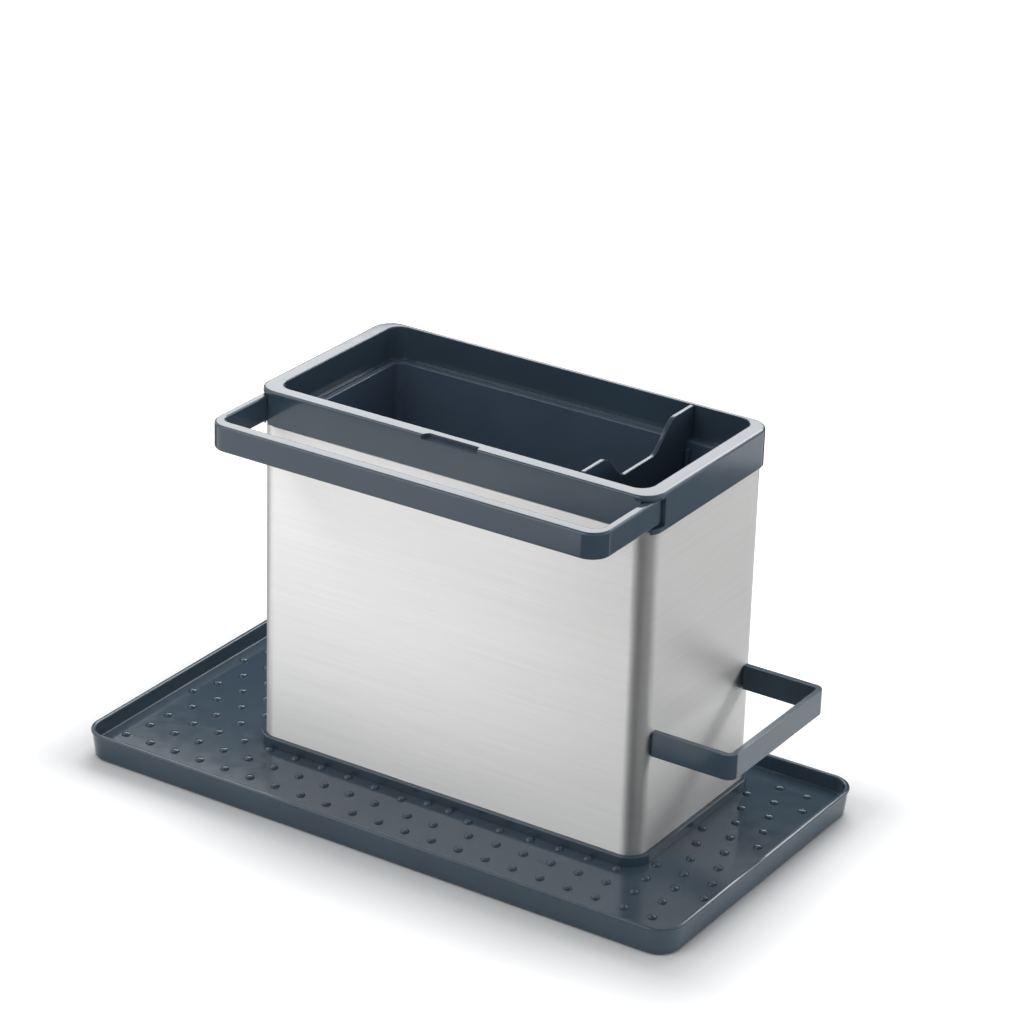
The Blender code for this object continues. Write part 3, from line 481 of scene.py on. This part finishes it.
def nub_places():
    """Nub centres on the floor that the caddy leaves free, mirrored about NUB_MIRROR_X. The second
    and the third row part at the middle and bow forward there along a bell curve, exp(-(x/w)^2).
    In the bays at both ends further rows follow, each leaning a little nearer to the caddy."""
    places = [(0.0, FIRST_ROW), (SECOND_INNER, SECOND_ROW - SECOND_BOW), (THIRD_INNER, THIRD_ROW)]
    for column in range(NUB_COLUMNS):
        spread = THIRD_SPREAD * (1 - math.exp(-column / THIRD_FADE))
        second_x = SECOND_START + column * NUB_PITCH
        third_x = THIRD_START + column * THIRD_PITCH + spread
        second_bow = SECOND_BOW * math.exp(-((second_x / BOW_WIDTH) ** 2))
        third_bow = THIRD_BOW * math.exp(-((third_x / BOW_WIDTH) ** 2))
        places += [((column + 1) * NUB_PITCH, FIRST_ROW),
                   (second_x, SECOND_ROW - second_bow),
                   (third_x, THIRD_ROW - third_bow)]
    bays = [(BAY_START[0] - BAY_LEAN * row + NUB_PITCH * column,
             BAY_START[1] + BAY_ROW_PITCH * row)
            for row in range(BAY_ROWS) for column in range(BAY_COLUMNS)]
    caddy_left = SLEEVE[0] - NUB_GAP_AT_SLEEVE
    caddy_right = SLEEVE[1] + NUB_GAP_AT_SLEEVE
    kept = []
    for side in (-1, 1):
        kept += [(NUB_MIRROR_X + side * x, y) for x, y in places if x > 0 or side > 0]
        kept += [(NUB_MIRROR_X + side * x, y) for x, y in bays
                 if not caddy_left <= NUB_MIRROR_X + side * x <= caddy_right]
    return [(x, y) for x, y in kept
            if TRAY[0] + NUB_GAP_AT_ENDS < x < TRAY[1] - NUB_GAP_AT_ENDS]


def make_tray(plastic):
    """Low drafted wall with a rim bead, a sunken floor and a hollow underside. Each nub is a dome:
    a flat crown with a quarter ellipse round it, turned about the nub's centre."""
    levels = [
        level(TRAY, 3.4, TRAY_CORNER, FLOOR_UNDER),
        level(TRAY, 3.0, TRAY_CORNER, TRAY_FOOT, 0.4),
        level(TRAY, 1.6, TRAY_CORNER, TRAY_FOOT, 0.5),
        level(TRAY, 0.5, TRAY_CORNER, BEAD_FOOT - 0.4, 0.35),   # drafted wall up to the bead
        level(TRAY, 0.0, TRAY_CORNER, BEAD_FOOT, 0.3),
        level(TRAY, 0.0, TRAY_CORNER, TRAY_TOP, 0.95),
        level(TRAY, 1.9, TRAY_CORNER, TRAY_TOP, 0.75),
        level(TRAY, 2.8, TRAY_CORNER, FLOOR_TOP + 0.3, 0.25),   # inner wall down to the floor
        level(TRAY, 3.2, TRAY_CORNER, FLOOR_TOP),
    ]
    tray = shell("tray_moulding", levels, closed=False)
    soften_edges(tray, 0.1)
    settle(tray, "tray", plastic, "slate_plastic", "drip_tray")
    dome = [(NUB_SHOULDER, FLOOR_TOP - 0.3), (NUB_SHOULDER, FLOOR_TOP)]
    dome += [(NUB_CROWN + NUB_BEND * math.cos(a),
              FLOOR_TOP + NUB_FOOT + (NUB_HEIGHT - NUB_FOOT) * math.sin(a))
             for a in np.linspace(0, np.pi / 2, 6)]
    settle(turned("tray_nubs", dome, nub_places(), 14), "tray", plastic, "slate_plastic")
    rib = [
        level(SLEEVE, RIB_OUTSIDE, SLEEVE_CORNER, RIB_FOOT),
        level(SLEEVE, RIB_OUTSIDE, SLEEVE_CORNER, RIB_TOP, 0.4),
        level(SLEEVE, RIB_INSIDE, SLEEVE_CORNER, RIB_TOP, 0.4),
        level(SLEEVE, RIB_INSIDE, SLEEVE_CORNER, RIB_FOOT),
    ]
    settle(shell("tray_locating_rib", rib, closed=True), "tray", plastic, "slate_plastic")
    inside, outside = SOCKET_RING
    socket = [(inside, SOCKET_ROOT), (inside, SOCKET_FOOT + 0.1), (inside + 0.25, SOCKET_FOOT),
              (outside - 0.25, SOCKET_FOOT), (outside, SOCKET_FOOT + 0.1), (outside, SOCKET_ROOT)]
    settle(turned("tray_foot_sockets", socket, FEET, 40, closed=True), "tray", plastic,
           "slate_plastic")


def make_feet(rubber):
    """Rubber pads with a rolling lower edge and a small chamfer on top, turned about z."""
    flat = PAD_RADIUS - PAD_ROUND
    profile = [(flat + PAD_ROUND * math.cos(a), PAD_ROUND - PAD_ROUND * math.sin(a))
               for a in np.linspace(np.pi / 2, 0, 5)]
    profile += [(PAD_RADIUS, PAD_TOP - PAD_CHAMFER), (PAD_RADIUS - PAD_CHAMFER, PAD_TOP)]
    for number, place in enumerate(FEET, start=1):
        pad = turned(f"foot_pad_{number}", profile, [place], 40)
        settle(pad, "tray", rubber, "foot_rubber", f"tray_foot_{number}")


# Caddy shell

BASE_FOOT = FLOOR_TOP + 0.05
BASE_STEP = 10.1
RING_PROUD = 2.0
UPSTAND_TOP = node_heights("base_frame")[1]
LATTICE_LOW = 9.2
LATTICE_HIGH = 11.2
LATTICE_EDGE = 9.0
LATTICE_BAR = 4.0
LATTICE_COLUMNS = 6
LATTICE_ROWS = 3
SHEET = 0.8
SHEET_LOW = BASE_STEP + 0.03
SHEET_HIGH = node_heights("steel_sleeve")[1]
FINE_CORNER = 28
SEAM_HALF = 0.18
SEAM_DEPTH = 0.12
BAND = node_plan("top_collar")
BAND_CORNER = 8.3
BAND_FOOT = 146.9
TUB_LEDGE = 147.0
LEDGE_STEP = 149.1
GROOVE_TOP = 147.9
UNDER_SKIRT = SKIRT_FOOT - 1.0
STEP_ENDS = (-78.2, 93.7)
SOCKETS = ((-86.0, -77.9), (93.4, 102.0))
SOCKET_TOP = 160.7
LIP_BACK = -27.0
ARM_END = -21.0
ARM_LOW = 149.2
POCKETS = ((93.7, 95.84, -17.0, 51.2), (-80.55, -78.95, -17.0, 51.2), (-73.35, 88.1, -27.36, -25.7))
NOTCH_OPENING = (-5.7, 21.1)
NOTCH_ENDS = (-2.3, 19.9)
NOTCH_BACK = -27.6
NOTCH_LOW = 160.9


def make_base(plastic):
    """Plinth ring with an upstand inside the sleeve and a lattice floor. The ring reaches down to
    just over the tray, closing the solids' clearance where it would show."""
    levels = [
        level(SLEEVE, 2.6, SLEEVE_CORNER, LATTICE_LOW),
        level(SLEEVE, 2.2, SLEEVE_CORNER, BASE_FOOT, 0.2),
        level(SLEEVE, -RING_PROUD, SLEEVE_CORNER, BASE_FOOT, 0.08),
        level(SLEEVE, -RING_PROUD, SLEEVE_CORNER, BASE_STEP, 0.35),   # ring that shows
        level(SLEEVE, INSIDE_SHEET, SLEEVE_CORNER, BASE_STEP, 0.1),   # step under the sheet
        level(SLEEVE, INSIDE_SHEET, SLEEVE_CORNER, UPSTAND_TOP, 0.4),
        level(SLEEVE, 2.8, SLEEVE_CORNER, UPSTAND_TOP, 0.3),
        level(SLEEVE, 3.2, SLEEVE_CORNER, LATTICE_HIGH),
    ]
    base = shell("base_plinth", levels, closed=False)
    left, right, front, back = inset(SLEEVE, LATTICE_EDGE)
    width = (right - left - LATTICE_BAR * (LATTICE_COLUMNS - 1)) / LATTICE_COLUMNS
    depth = (back - front - LATTICE_BAR * (LATTICE_ROWS - 1)) / LATTICE_ROWS
    windows = []
    for column in range(LATTICE_COLUMNS):
        for row in range(LATTICE_ROWS):
            x = left + column * (width + LATTICE_BAR)
            y = front + row * (depth + LATTICE_BAR)
            outline = box_outline((x, x + width, y, y + depth), 3.0)
            windows.append(prism("window", outline, low=LATTICE_LOW - 1.0,
                                 high=LATTICE_HIGH + 1.0))
    carve(base, windows)
    soften_edges(base, 0.25)
    settle(base, "caddy", plastic, "slate_plastic", "base_frame")


def wrap_uv(piece, steps):
    """UV map in metres: u is the distance round the sleeve's middle line, taken at the line's
    nearest point, and v the height. A face that crosses the start gets one more round on its
    low side."""
    mesh = piece.data
    layer = mesh.uv_layers.new(name="round_and_up")
    index = np.zeros(len(mesh.loops), int)
    mesh.loops.foreach_get("vertex_index", index)
    points = np.zeros(len(mesh.vertices) * 3)
    mesh.vertices.foreach_get("co", points)
    points = points.reshape(-1, 3) / MM
    middle_line = np.array([level(SLEEVE, SHEET / 2, SLEEVE_CORNER, 0)])[:, :6]
    path = ring_grid(middle_line, steps)[0, :, :2] / MM
    path = np.concatenate([path, path[:1]])
    start, run = path[:-1], np.diff(path, axis=0)
    lengths = np.concatenate([[0], np.cumsum(np.hypot(*run.T))])
    size = np.maximum((run ** 2).sum(1), 1e-12)
    offset = points[:, None, :2] - start[None]
    along = np.clip((offset * run[None]).sum(-1) / size, 0, 1)
    gap = ((offset - along[..., None] * run[None]) ** 2).sum(-1)
    best = gap.argmin(1)
    u = lengths[best] + along[np.arange(len(points)), best] * np.sqrt(size[best])
    uv = np.stack([u, points[:, 2]], -1)[index] * MM
    starts = np.zeros(len(mesh.polygons), int)
    totals = np.zeros(len(mesh.polygons), int)
    mesh.polygons.foreach_get("loop_start", starts)
    mesh.polygons.foreach_get("loop_total", totals)
    face_of_loop = np.repeat(np.arange(len(starts)), totals)
    order = np.concatenate([np.arange(s, s + n) for s, n in zip(starts, totals)])
    high = np.full(len(starts), -np.inf)
    np.maximum.at(high, face_of_loop, uv[order, 0])
    once_round = lengths[-1] * MM
    crosses = (high[face_of_loop] - uv[order, 0]) > once_round / 2
    uv[order[crosses], 0] += once_round
    layer.data.foreach_set("uv", uv.ravel())


def make_sleeve(steel):
    """Folded sheet tube with a fine butt seam up its back and two slots for the side holder. The
    sheet reaches down to just over the base ring, as the ring does over the tray."""
    levels = [
        level(SLEEVE, 0.0, SLEEVE_CORNER, SHEET_LOW, 0.08),
        level(SLEEVE, 0.0, SLEEVE_CORNER, SHEET_HIGH, 0.15),
        level(SLEEVE, SHEET, SLEEVE_CORNER, SHEET_HIGH, 0.15),
        level(SLEEVE, SHEET, SLEEVE_CORNER, SHEET_LOW, 0.15),
    ]
    sleeve = shell("steel_sheet", levels, closed=True, corner_steps=FINE_CORNER)
    tools = []
    slot_half = TAB_HALF + CLEARANCE
    for y in HOLDER_ARMS:
        outline = box_outline((SLEEVE[1] - 3.0, SLEEVE[1] + 3.0, y - slot_half, y + slot_half), 0.4)
        tools.append(prism("slot", outline, low=TAB_LOW - CLEARANCE, high=TAB_HIGH + CLEARANCE))
    seam_x = SLEEVE_MIDDLE[0]
    seam = box_outline((seam_x - SEAM_HALF, seam_x + SEAM_HALF,
                        SLEEVE_BACK - SEAM_DEPTH, SLEEVE_BACK + 1))
    tools.append(prism("seam", seam, low=SHEET_LOW - 1, high=SHEET_HIGH + 1))
    carve(sleeve, tools)
    wrap_uv(sleeve, FINE_CORNER)
    keep_flats(sleeve)
    settle(sleeve, "caddy", steel, "brushed_sleeve", "steel_sleeve")


def make_collar(plastic):
    """Rim flange over a side band, with the tub's ledge, rail sockets, core-outs and notch."""
    ledge_corner = OPENING_CORNER + 0.8
    levels = [
        level(BAND, 0.3, BAND_CORNER, BAND_FOOT, 0.15),
        level(BAND, 0.0, BAND_CORNER, BAND_FOOT + 0.4, 0.2),
        level(BAND, 0.0, BAND_CORNER, RIM_TOP, 1.1),
        level(OPENING, 0.0, OPENING_CORNER, RIM_TOP, 0.8),
        level(OPENING, 0.0, OPENING_CORNER, LEDGE_STEP, 0.2),
        level(OPENING, 1.2, OPENING_CORNER, LEDGE_STEP, 0.3),
        level(OPENING, 1.2, OPENING_CORNER, TUB_LEDGE, 0.1),
        level(OPENING, 2.8, ledge_corner, TUB_LEDGE, 0.2),
        level(OPENING, 2.8, ledge_corner, SKIRT_FOOT, 0.2),
        level(SLEEVE, INSIDE_SHEET, SLEEVE_CORNER, SKIRT_FOOT, 0.2),
        level(SLEEVE, INSIDE_SHEET, SLEEVE_CORNER, GROOVE_TOP),      # groove over the sheet's edge
        level(SLEEVE, -0.3, SLEEVE_CORNER, GROOVE_TOP),
        level(SLEEVE, -0.3, SLEEVE_CORNER, BAND_FOOT, 0.1),
    ]
    collar = shell("rim_collar", levels, closed=True, corner_steps=FINE_CORNER)
    front = SLEEVE_FRONT - 3.0
    face = BAND[2]
    step = box_outline((*STEP_ENDS, front, face + 0.5))
    relief = box_outline((*STEP_ENDS, front, SLEEVE_FRONT + 0.4))
    tools = [
        prism("step", step, low=UNDER_SKIRT, high=SOCKET_TOP),
        prism("relief", relief, low=UNDER_SKIRT, high=148.1),
    ]
    socket = np.array([(front, UNDER_SKIRT), (LIP_BACK, UNDER_SKIRT), (LIP_BACK, ARM_LOW),
                       (ARM_END, ARM_LOW), (ARM_END, SOCKET_TOP), (front, SOCKET_TOP)])
    for left, right in SOCKETS:
        tools.append(prism("socket", socket, low=left, high=right, axes=(1, 2, 0)))
    tools += [prism("pocket", box_outline(pocket, 0.6), low=UNDER_SKIRT, high=SOCKET_TOP)
              for pocket in POCKETS]
    (left, right), (left_end, right_end) = NOTCH_OPENING, NOTCH_ENDS
    notch = np.concatenate([
        [(left, front), (right, front)],
        smooth_run((right, face - 0.3), (right_end, NOTCH_BACK), 10),
        smooth_run((left_end, NOTCH_BACK), (left, face - 0.3), 16),
    ])
    tools.append(prism("notch", notch, low=NOTCH_LOW, high=RIM_TOP + 1.1))
    carve(collar, tools)
    soften_edges(collar, 0.22)
    settle(collar, "caddy", plastic, "slate_plastic", "top_collar")


# Tub and divider

TUB_BOTTOM, FLANGE_TOP = node_heights("inner_tub")
FLANGE_LOW = TUB_LEDGE + CLEARANCE
TUB_WALL = 1.3
TUB_CORNER = 4.5
TUB_FLOOR = 14.2
TUB_SIDE_AT_TOP = 3.1
TUB_SIDE_AT_FLOOR = 5.6
GUIDE_FOOT = 13.9
GUIDE_TOP = 146.0
GUIDE_WIDTH = 1.5
SILL_TOP = 15.1
SILL_WIDTH = 1.3
DRAIN_SLOTS = 7
DRAIN_PITCH = 17.0
DRAIN_MIDDLE_X = -5.0
DRAIN_HALF_WIDTH = 1.7
DRAIN_HALF_LENGTH = 22.0
SHOULDER = 149.4
SCOOP_DEPTH = 11.5


def make_tub(plastic):
    """Drafted tub hanging by a small flange, with divider guides and a slotted floor."""
    top = inset(OPENING, TUB_SIDE_AT_TOP)
    low = inset(OPENING, TUB_SIDE_AT_FLOOR)
    levels = [
        level(low, 1.0, TUB_CORNER, TUB_BOTTOM, 0.3),
        level(low, 0.0, TUB_CORNER, TUB_BOTTOM + 1.0, 0.3),
        level(top, 0.0, TUB_CORNER, FLANGE_LOW, 0.2),
        level(OPENING, FLANGE_GAP, OPENING_CORNER, FLANGE_LOW, 0.1),
        level(OPENING, FLANGE_GAP, OPENING_CORNER, FLANGE_TOP, 0.35),
        level(top, TUB_WALL, TUB_CORNER, FLANGE_TOP, 0.45),
        level(low, TUB_WALL, TUB_CORNER, TUB_FLOOR + 1.0, 0.4),
        level(low, TUB_WALL + 1.0, TUB_CORNER, TUB_FLOOR),
    ]
    tub = shell("tub_moulding", levels, closed=False, corner_steps=12)
    inner_top, inner_low = inset(top, TUB_WALL), inset(low, TUB_WALL)
    beside = (DIVIDER[1] - DIVIDER[0]) / 2 + CLEARANCE
    guides = []
    for near in (DIVIDER_X - beside - GUIDE_WIDTH, DIVIDER_X + beside):
        for wall, sign in ((2, 1), (3, -1)):
            outline = np.array([
                (inner_low[wall] - sign * 0.6, GUIDE_FOOT),
                (inner_low[wall] + sign * 2.0, GUIDE_FOOT),
                (inner_top[wall] + sign * 2.0, GUIDE_TOP),
                (inner_top[wall] - sign * 0.6, GUIDE_TOP),
            ])
            guides.append(prism("guide", outline, low=near, high=near + GUIDE_WIDTH,
                                axes=(1, 2, 0)))
    carve(tub, guides, "UNION")
    beside += 0.1
    sills = []
    for near in (DIVIDER_X - beside - SILL_WIDTH, DIVIDER_X + beside):
        outline = box_outline((near, near + SILL_WIDTH, inner_low[2] + 1.0, inner_low[3] - 1.0))
        sills.append(prism("sill", outline, low=GUIDE_FOOT, high=SILL_TOP))
    carve(tub, sills, "UNION")
    slots = []
    for number in range(DRAIN_SLOTS):
        x = DRAIN_MIDDLE_X + (number - DRAIN_SLOTS // 2) * DRAIN_PITCH
        box = (x - DRAIN_HALF_WIDTH, x + DRAIN_HALF_WIDTH,
               SLEEVE_MIDDLE[1] - DRAIN_HALF_LENGTH, SLEEVE_MIDDLE[1] + DRAIN_HALF_LENGTH)
        slots.append(prism("slot", box_outline(box, DRAIN_HALF_WIDTH - 0.05),
                           low=TUB_BOTTOM - 1.0, high=TUB_FLOOR + 1.0))
    carve(tub, slots)
    soften_edges(tub, 0.2)
    settle(tub, "tub", plastic, "tub_plastic", "inner_tub")


def make_divider(plastic):
    """Partition with wide shoulders over the tub's flange and a scooped top edge. The outline
    runs through (y, z), up the back and down the front."""
    left, right, front, back = DIVIDER
    foot = node_heights("cross_divider")[0]
    scoop_low = RIM_TOP - SCOOP_DEPTH
    tip = 0.6
    outline = np.concatenate([
        [(-15.8, foot), (49.4, foot), (50.4, 15.9), (52.9, SHOULDER), (back, SHOULDER)],
        arc((back - tip, RIM_TOP - tip), tip, 0, 4),
        smooth_run((back - 13.5, RIM_TOP), (back - 30.5, scoop_low), 24),
        smooth_run((front + 30.5, scoop_low), (front + 13.5, RIM_TOP), 24),
        arc((front + tip, RIM_TOP - tip), tip, 90, 4),
        [(front, SHOULDER), (-19.3, SHOULDER), (-16.8, 15.9)],
    ])
    divider = prism("divider_plate", outline, low=left, high=right, axes=(1, 2, 0))
    soften_edges(divider, 0.45, segments=4)
    settle(divider, "divider", plastic, "slate_plastic", "cross_divider")


# Rail and side holder

def make_rail(plastic):
    """Flat-band rail with round corners and softly rounded edges."""
    left, right, front, ends = node_plan("front_rail")
    low, high = node_heights("front_rail")
    outline = u_outline(left, right, front, ends, walls=(3.2, 3.8, 5.6), radii=(8.2, 4.4))
    rail = prism("towel_rail", outline, low=low, high=high)
    soften_edges(rail, 0.95, segments=5)
    settle(rail, "rail", plastic, "slate_plastic", "front_rail")


def make_holder(plastic):
    """U band on the right face, with a flat tab behind each arm. The outline is drawn opening to
    the back and then turned a quarter, (x, y) becoming (-y, x), so that it opens to the left."""
    tab_end, outside, front, back = HOLDER
    drawn = u_outline(left=front, right=back, front=-outside, ends=-(SLEEVE[1] + CLEARANCE),
                      walls=(HOLDER_WALL,) * 3, radii=(4.2, 1.6), steps=12)
    outline = np.stack([-drawn[:, 1], drawn[:, 0]], -1)
    holder = prism("side_band", outline, low=HOLDER_LOW, high=HOLDER_HIGH)
    tab_root = 99.0
    tabs = [prism("tab", box_outline((tab_end, tab_root, y - TAB_HALF, y + TAB_HALF)),
                  low=TAB_LOW, high=TAB_HIGH) for y in HOLDER_ARMS]
    carve(holder, tabs, "UNION")
    soften_edges(holder, 0.45, segments=4)
    settle(holder, "holder", plastic, "slate_plastic", "side_holder")


# Studio, in metres

STUDIO_REACH = 6.0
GLOW_START = 0.006
GLOW_NEAR = 0.038
GLOW_FAR = 1.2
GLOW_STEP = 0.4
CARD_LIFT = 0.002

# Each lamp has its place, its aim, its size, its power and the rays that it serves

LAMPS = (
    ("key softbox", (-0.42, 1.15, 1.35), (0.0, 0.0, 0.08), (1.3, 1.3), 16.0, "diffuse"),
    ("overhead softbox", (-0.1, 0.1, 1.6), (0.0, 0.0, 0.0), (1.4, 1.4), 3.5, "diffuse"),
    ("front top softbox", (-0.3, -1.0, 1.1), (0.0, 0.0, 0.1), (1.0, 0.8), 4.5, "diffuse"),
    ("right softbox", (1.1, 0.3, 0.25), (0.1, 0.0, 0.06), (0.8, 0.4), 2.6, "diffuse"),
    ("rim softbox", (-0.27, 0.35, 0.405), (-0.27, 0.0, 0.24), (0.5, 0.22), 1.15, "glossy"),
    ("front softbox", (-0.62, -0.98, 0.52), (0.0, -0.05, 0.0), (1.2, 0.8), 3.6, "glossy"),
    ("edge softbox", (-0.5, -0.8, 1.15), (0.0, -0.05, 0.1), (1.1, 0.3), 3.6, "glossy"),
    ("back softbox", (-0.08, 1.05, 0.83), (0.1, 0.0, 0.05), (0.6, 0.16), 2.4, "glossy"),
    ("back right softbox", (0.52, 0.8, 0.62), (0.1, 0.0, 0.1), (0.35, 0.2), 1.0, "glossy"),
)


def lying(height, *corners):
    """Corners of a level card from its plan."""
    return [(x, y, height) for x, y in corners]


def standing(start, end, low, high):
    """Corners of an upright card from the two ends of its foot."""
    return [(*start, low), (*end, low), (*end, high), (*start, high)]


CARDS = (
    ("low back flag", "#15191e", standing((-0.7, 0.35), (-0.25, 0.35), 0.0, 0.297)),
    ("small back flag", "#15191e", standing((-0.085, 0.35), (0.15, 0.35), 0.0, 0.235)),
    ("left flag", "#777777", lying(CARD_LIFT, (-0.145, -0.035), (-0.145, 0.15), (-0.3, 0.6),
                                   (-0.8, 0.6), (-0.8, -0.12))),
    ("camera flag", "#2a2a2a", standing((0.35, -1.6), (1.35, -0.95), 0.25, 1.3)),
    ("side flag", "#3a3a3a", standing((1.35, -0.95), (1.5, 0.25), 0.25, 1.0)),
    ("ceiling flag", "#1c1c1c", lying(2.1, (-1.3, -1.6), (1.5, -1.6), (1.5, 0.9), (-1.3, 0.9))),
    ("front right flag", "#424242", lying(CARD_LIFT, (-0.05, -0.7), (0.6, -0.7), (0.6, 0.4),
                                          (0.5, 0.4), (0.215, 0.06), (0.165, 0.0),
                                          (0.165, -0.09), (0.0365, -0.09), (0.019, -0.11),
                                          (0.07, -0.11), (0.07, -0.142), (-0.0095, -0.142),
                                          (-0.146, -0.296), (-0.07, -0.33))),
    ("back right flag", "#4a4a4a", standing((0.96, 0.54), (0.2, 1.02), 0.0, 0.32)),
    ("right flag", "#727272", lying(CARD_LIFT, (0.175, 0.17), (0.21, 0.15), (0.32, 0.22),
                                    (0.32, 0.33), (0.2, 0.36), (0.175, 0.25))),
)


def seen_white(tree):
    """One for rays from the camera, in a mirror image or through glass, and else zero."""
    paths = add_node(tree, "ShaderNodeLightPath")
    mirrored = add_node(tree, "ShaderNodeMath", {"operation": "MAXIMUM"},
                        {0: paths.outputs["Is Camera Ray"], 1: paths.outputs["Is Glossy Ray"]})
    return add_node(tree, "ShaderNodeMath", {"operation": "MAXIMUM"},
                    {0: mirrored.outputs["Value"],
                     1: paths.outputs["Is Transmission Ray"]}).outputs["Value"]


def white_paper(name, colour):
    """Matt white paper that keeps the object's shadow. For the camera and in reflections it also
    glows a little, by its distance from the tray's outline: from nothing at 6 mm to 0.4 at 38 mm
    and 0.8 at 1.2 m."""
    material, tree = new_material(name)
    place = add_node(tree, "ShaderNodeTexCoord").outputs["Object"]
    sides = add_node(tree, "ShaderNodeVectorMath", {"operation": "ABSOLUTE"}, {0: place})
    past = add_node(tree, "ShaderNodeVectorMath",
                    {"operation": "SUBTRACT", 1: (TRAY[1] * MM, TRAY[3] * MM, 0.0)},
                    {0: sides.outputs["Vector"]})
    outside = add_node(tree, "ShaderNodeVectorMath", {"operation": "MAXIMUM"},
                       {0: past.outputs["Vector"]})
    away = add_node(tree, "ShaderNodeVectorMath", {"operation": "LENGTH"},
                    {0: outside.outputs["Vector"]})
    near, far = (
        add_node(tree, "ShaderNodeMapRange",
                 {"From Min": start, "From Max": end, "To Min": 0.0, "To Max": GLOW_STEP},
                 {"Value": away.outputs["Value"]})
        for start, end in ((GLOW_START, GLOW_NEAR), (GLOW_NEAR, GLOW_FAR)))
    lift = add_node(tree, "ShaderNodeMath", {"operation": "ADD"},
                    {0: near.outputs["Result"], 1: far.outputs["Result"]})
    strength = add_node(tree, "ShaderNodeMath", {"operation": "MULTIPLY"},
                        {0: lift.outputs["Value"], 1: seen_white(tree)})
    paper = add_node(tree, "ShaderNodeBsdfDiffuse", {"Color": linear(colour)})
    glow = add_node(tree, "ShaderNodeEmission", links={"Strength": strength.outputs["Value"]})
    both = add_node(tree, "ShaderNodeAddShader", links={0: paper.outputs[0], 1: glow.outputs[0]})
    add_node(tree, "ShaderNodeOutputMaterial", links={"Surface": both.outputs[0]})
    return material


def make_floor():
    """Plain pale floor."""
    reach = STUDIO_REACH
    corners = lying(0.0, (-reach, -reach), (reach, -reach), (reach, reach), (-reach, reach))
    floor = make_object("studio_floor", np.array(corners), [(0, 1, 2, 3)])
    floor.data.materials.append(white_paper("matt white paper", "#f6f6f6"))


def make_world():
    """Soft pale light from all round, which shows as white."""
    world = bpy.data.worlds.new("studio")
    bpy.context.scene.world = world
    world.use_nodes = True
    tree = world.node_tree
    tree.nodes.clear()
    white = add_node(tree, "ShaderNodeBackground", {"Color": linear("#ffffff"), "Strength": 1.0})
    soft = add_node(tree, "ShaderNodeBackground", {"Color": linear("#f2f5f8"), "Strength": 0.4})
    mix = add_node(tree, "ShaderNodeMixShader",
                   links={0: seen_white(tree), 1: soft.outputs[0], 2: white.outputs[0]})
    add_node(tree, "ShaderNodeOutputWorld", links={"Surface": mix.outputs[0]})


def make_lamp(name, place, aim, size, power, rays):
    """Rectangular lamp, itself unseen, that gives either its soft light or its mirror image."""
    data = bpy.data.lights.new(name, "AREA")
    data.shape = "RECTANGLE"
    data.size, data.size_y = size
    data.energy = power
    lamp = bpy.data.objects.new(name, data)
    bpy.context.scene.collection.objects.link(lamp)
    lamp.location = place
    lamp.rotation_mode = "QUATERNION"
    lamp.rotation_quaternion = (Vector(aim) - Vector(place)).to_track_quat("-Z", "Y")
    lamp.visible_camera = False
    lamp.visible_diffuse = rays == "diffuse"
    lamp.visible_glossy = rays == "glossy"


def make_card(name, colour, corners):
    """Flat dark or grey card, which shows only in mirror images."""
    card = make_object(name.replace(" ", "_"), np.array(corners), [tuple(range(len(corners)))])
    material, tree = new_material(name)
    paper = add_node(tree, "ShaderNodeBsdfDiffuse", {"Color": linear(colour)})
    add_node(tree, "ShaderNodeOutputMaterial", links={"Surface": paper.outputs[0]})
    card.data.materials.append(material)
    card.visible_camera = False
    card.visible_diffuse = False
    card.visible_transmission = False
    card.visible_shadow = False


# Camera, as fitted to the object's edges in a picture 1024 pixels wide

AZIMUTH = 32.3645
ELEVATION = 24.3347
ROLL = 1.7312
CAMERA_PLACE = (0.743864, -1.145271, 0.738429)
FOCAL_PIXELS = 3816.567
PICTURE_PIXELS = 1024
SENSOR_WIDTH = 36.0


def make_camera():
    """Long lens from the front right, a little rolled."""
    azimuth, elevation, roll = (math.radians(v) for v in (AZIMUTH, ELEVATION, ROLL))
    back = Vector((math.sin(azimuth) * math.cos(elevation),
                   -math.cos(azimuth) * math.cos(elevation), math.sin(elevation)))
    right = Vector((math.cos(azimuth), math.sin(azimuth), 0))
    up = back.cross(right)
    across = right * math.cos(roll) + up * math.sin(roll)
    upright = up * math.cos(roll) - right * math.sin(roll)
    data = bpy.data.cameras.new("camera")
    data.sensor_width = SENSOR_WIDTH
    data.lens = FOCAL_PIXELS / PICTURE_PIXELS * SENSOR_WIDTH
    camera = bpy.data.objects.new("camera", data)
    bpy.context.scene.collection.objects.link(camera)
    turn = Matrix((across, upright, back)).transposed()
    camera.matrix_world = Matrix.Translation(CAMERA_PLACE) @ turn.to_4x4()
    bpy.context.scene.camera = camera


slate = moulded_plastic("moulded gloss ABS, slate", base="#3d4d5a", light="#425360",
                        roughness=0.13, peel=0.04, grain=0.006)
# The tub's satin slate is lighter than the gloss slate. This is partly the tub's own tone and partly
# painted light for the deep inside, which the lamps reach little.
satin_painted_lighter = moulded_plastic("moulded satin ABS, slate, painted lighter", base="#495a6b", light="#4f6072",
                        roughness=0.35, peel=0.04, grain=0.004)
steel = brushed_steel("brushed stainless steel")
rubber = foot_rubber("pressed rubber")

make_tray(slate)
make_feet(rubber)
make_base(slate)
make_sleeve(steel)
make_collar(slate)
make_tub(satin_painted_lighter)
make_divider(slate)
make_rail(slate)
make_holder(slate)
make_floor()
make_world()
for lamp in LAMPS:
    make_lamp(*lamp)
for card in CARDS:
    make_card(*card)
make_camera()
bpy.context.scene.view_settings.view_transform = "Standard"
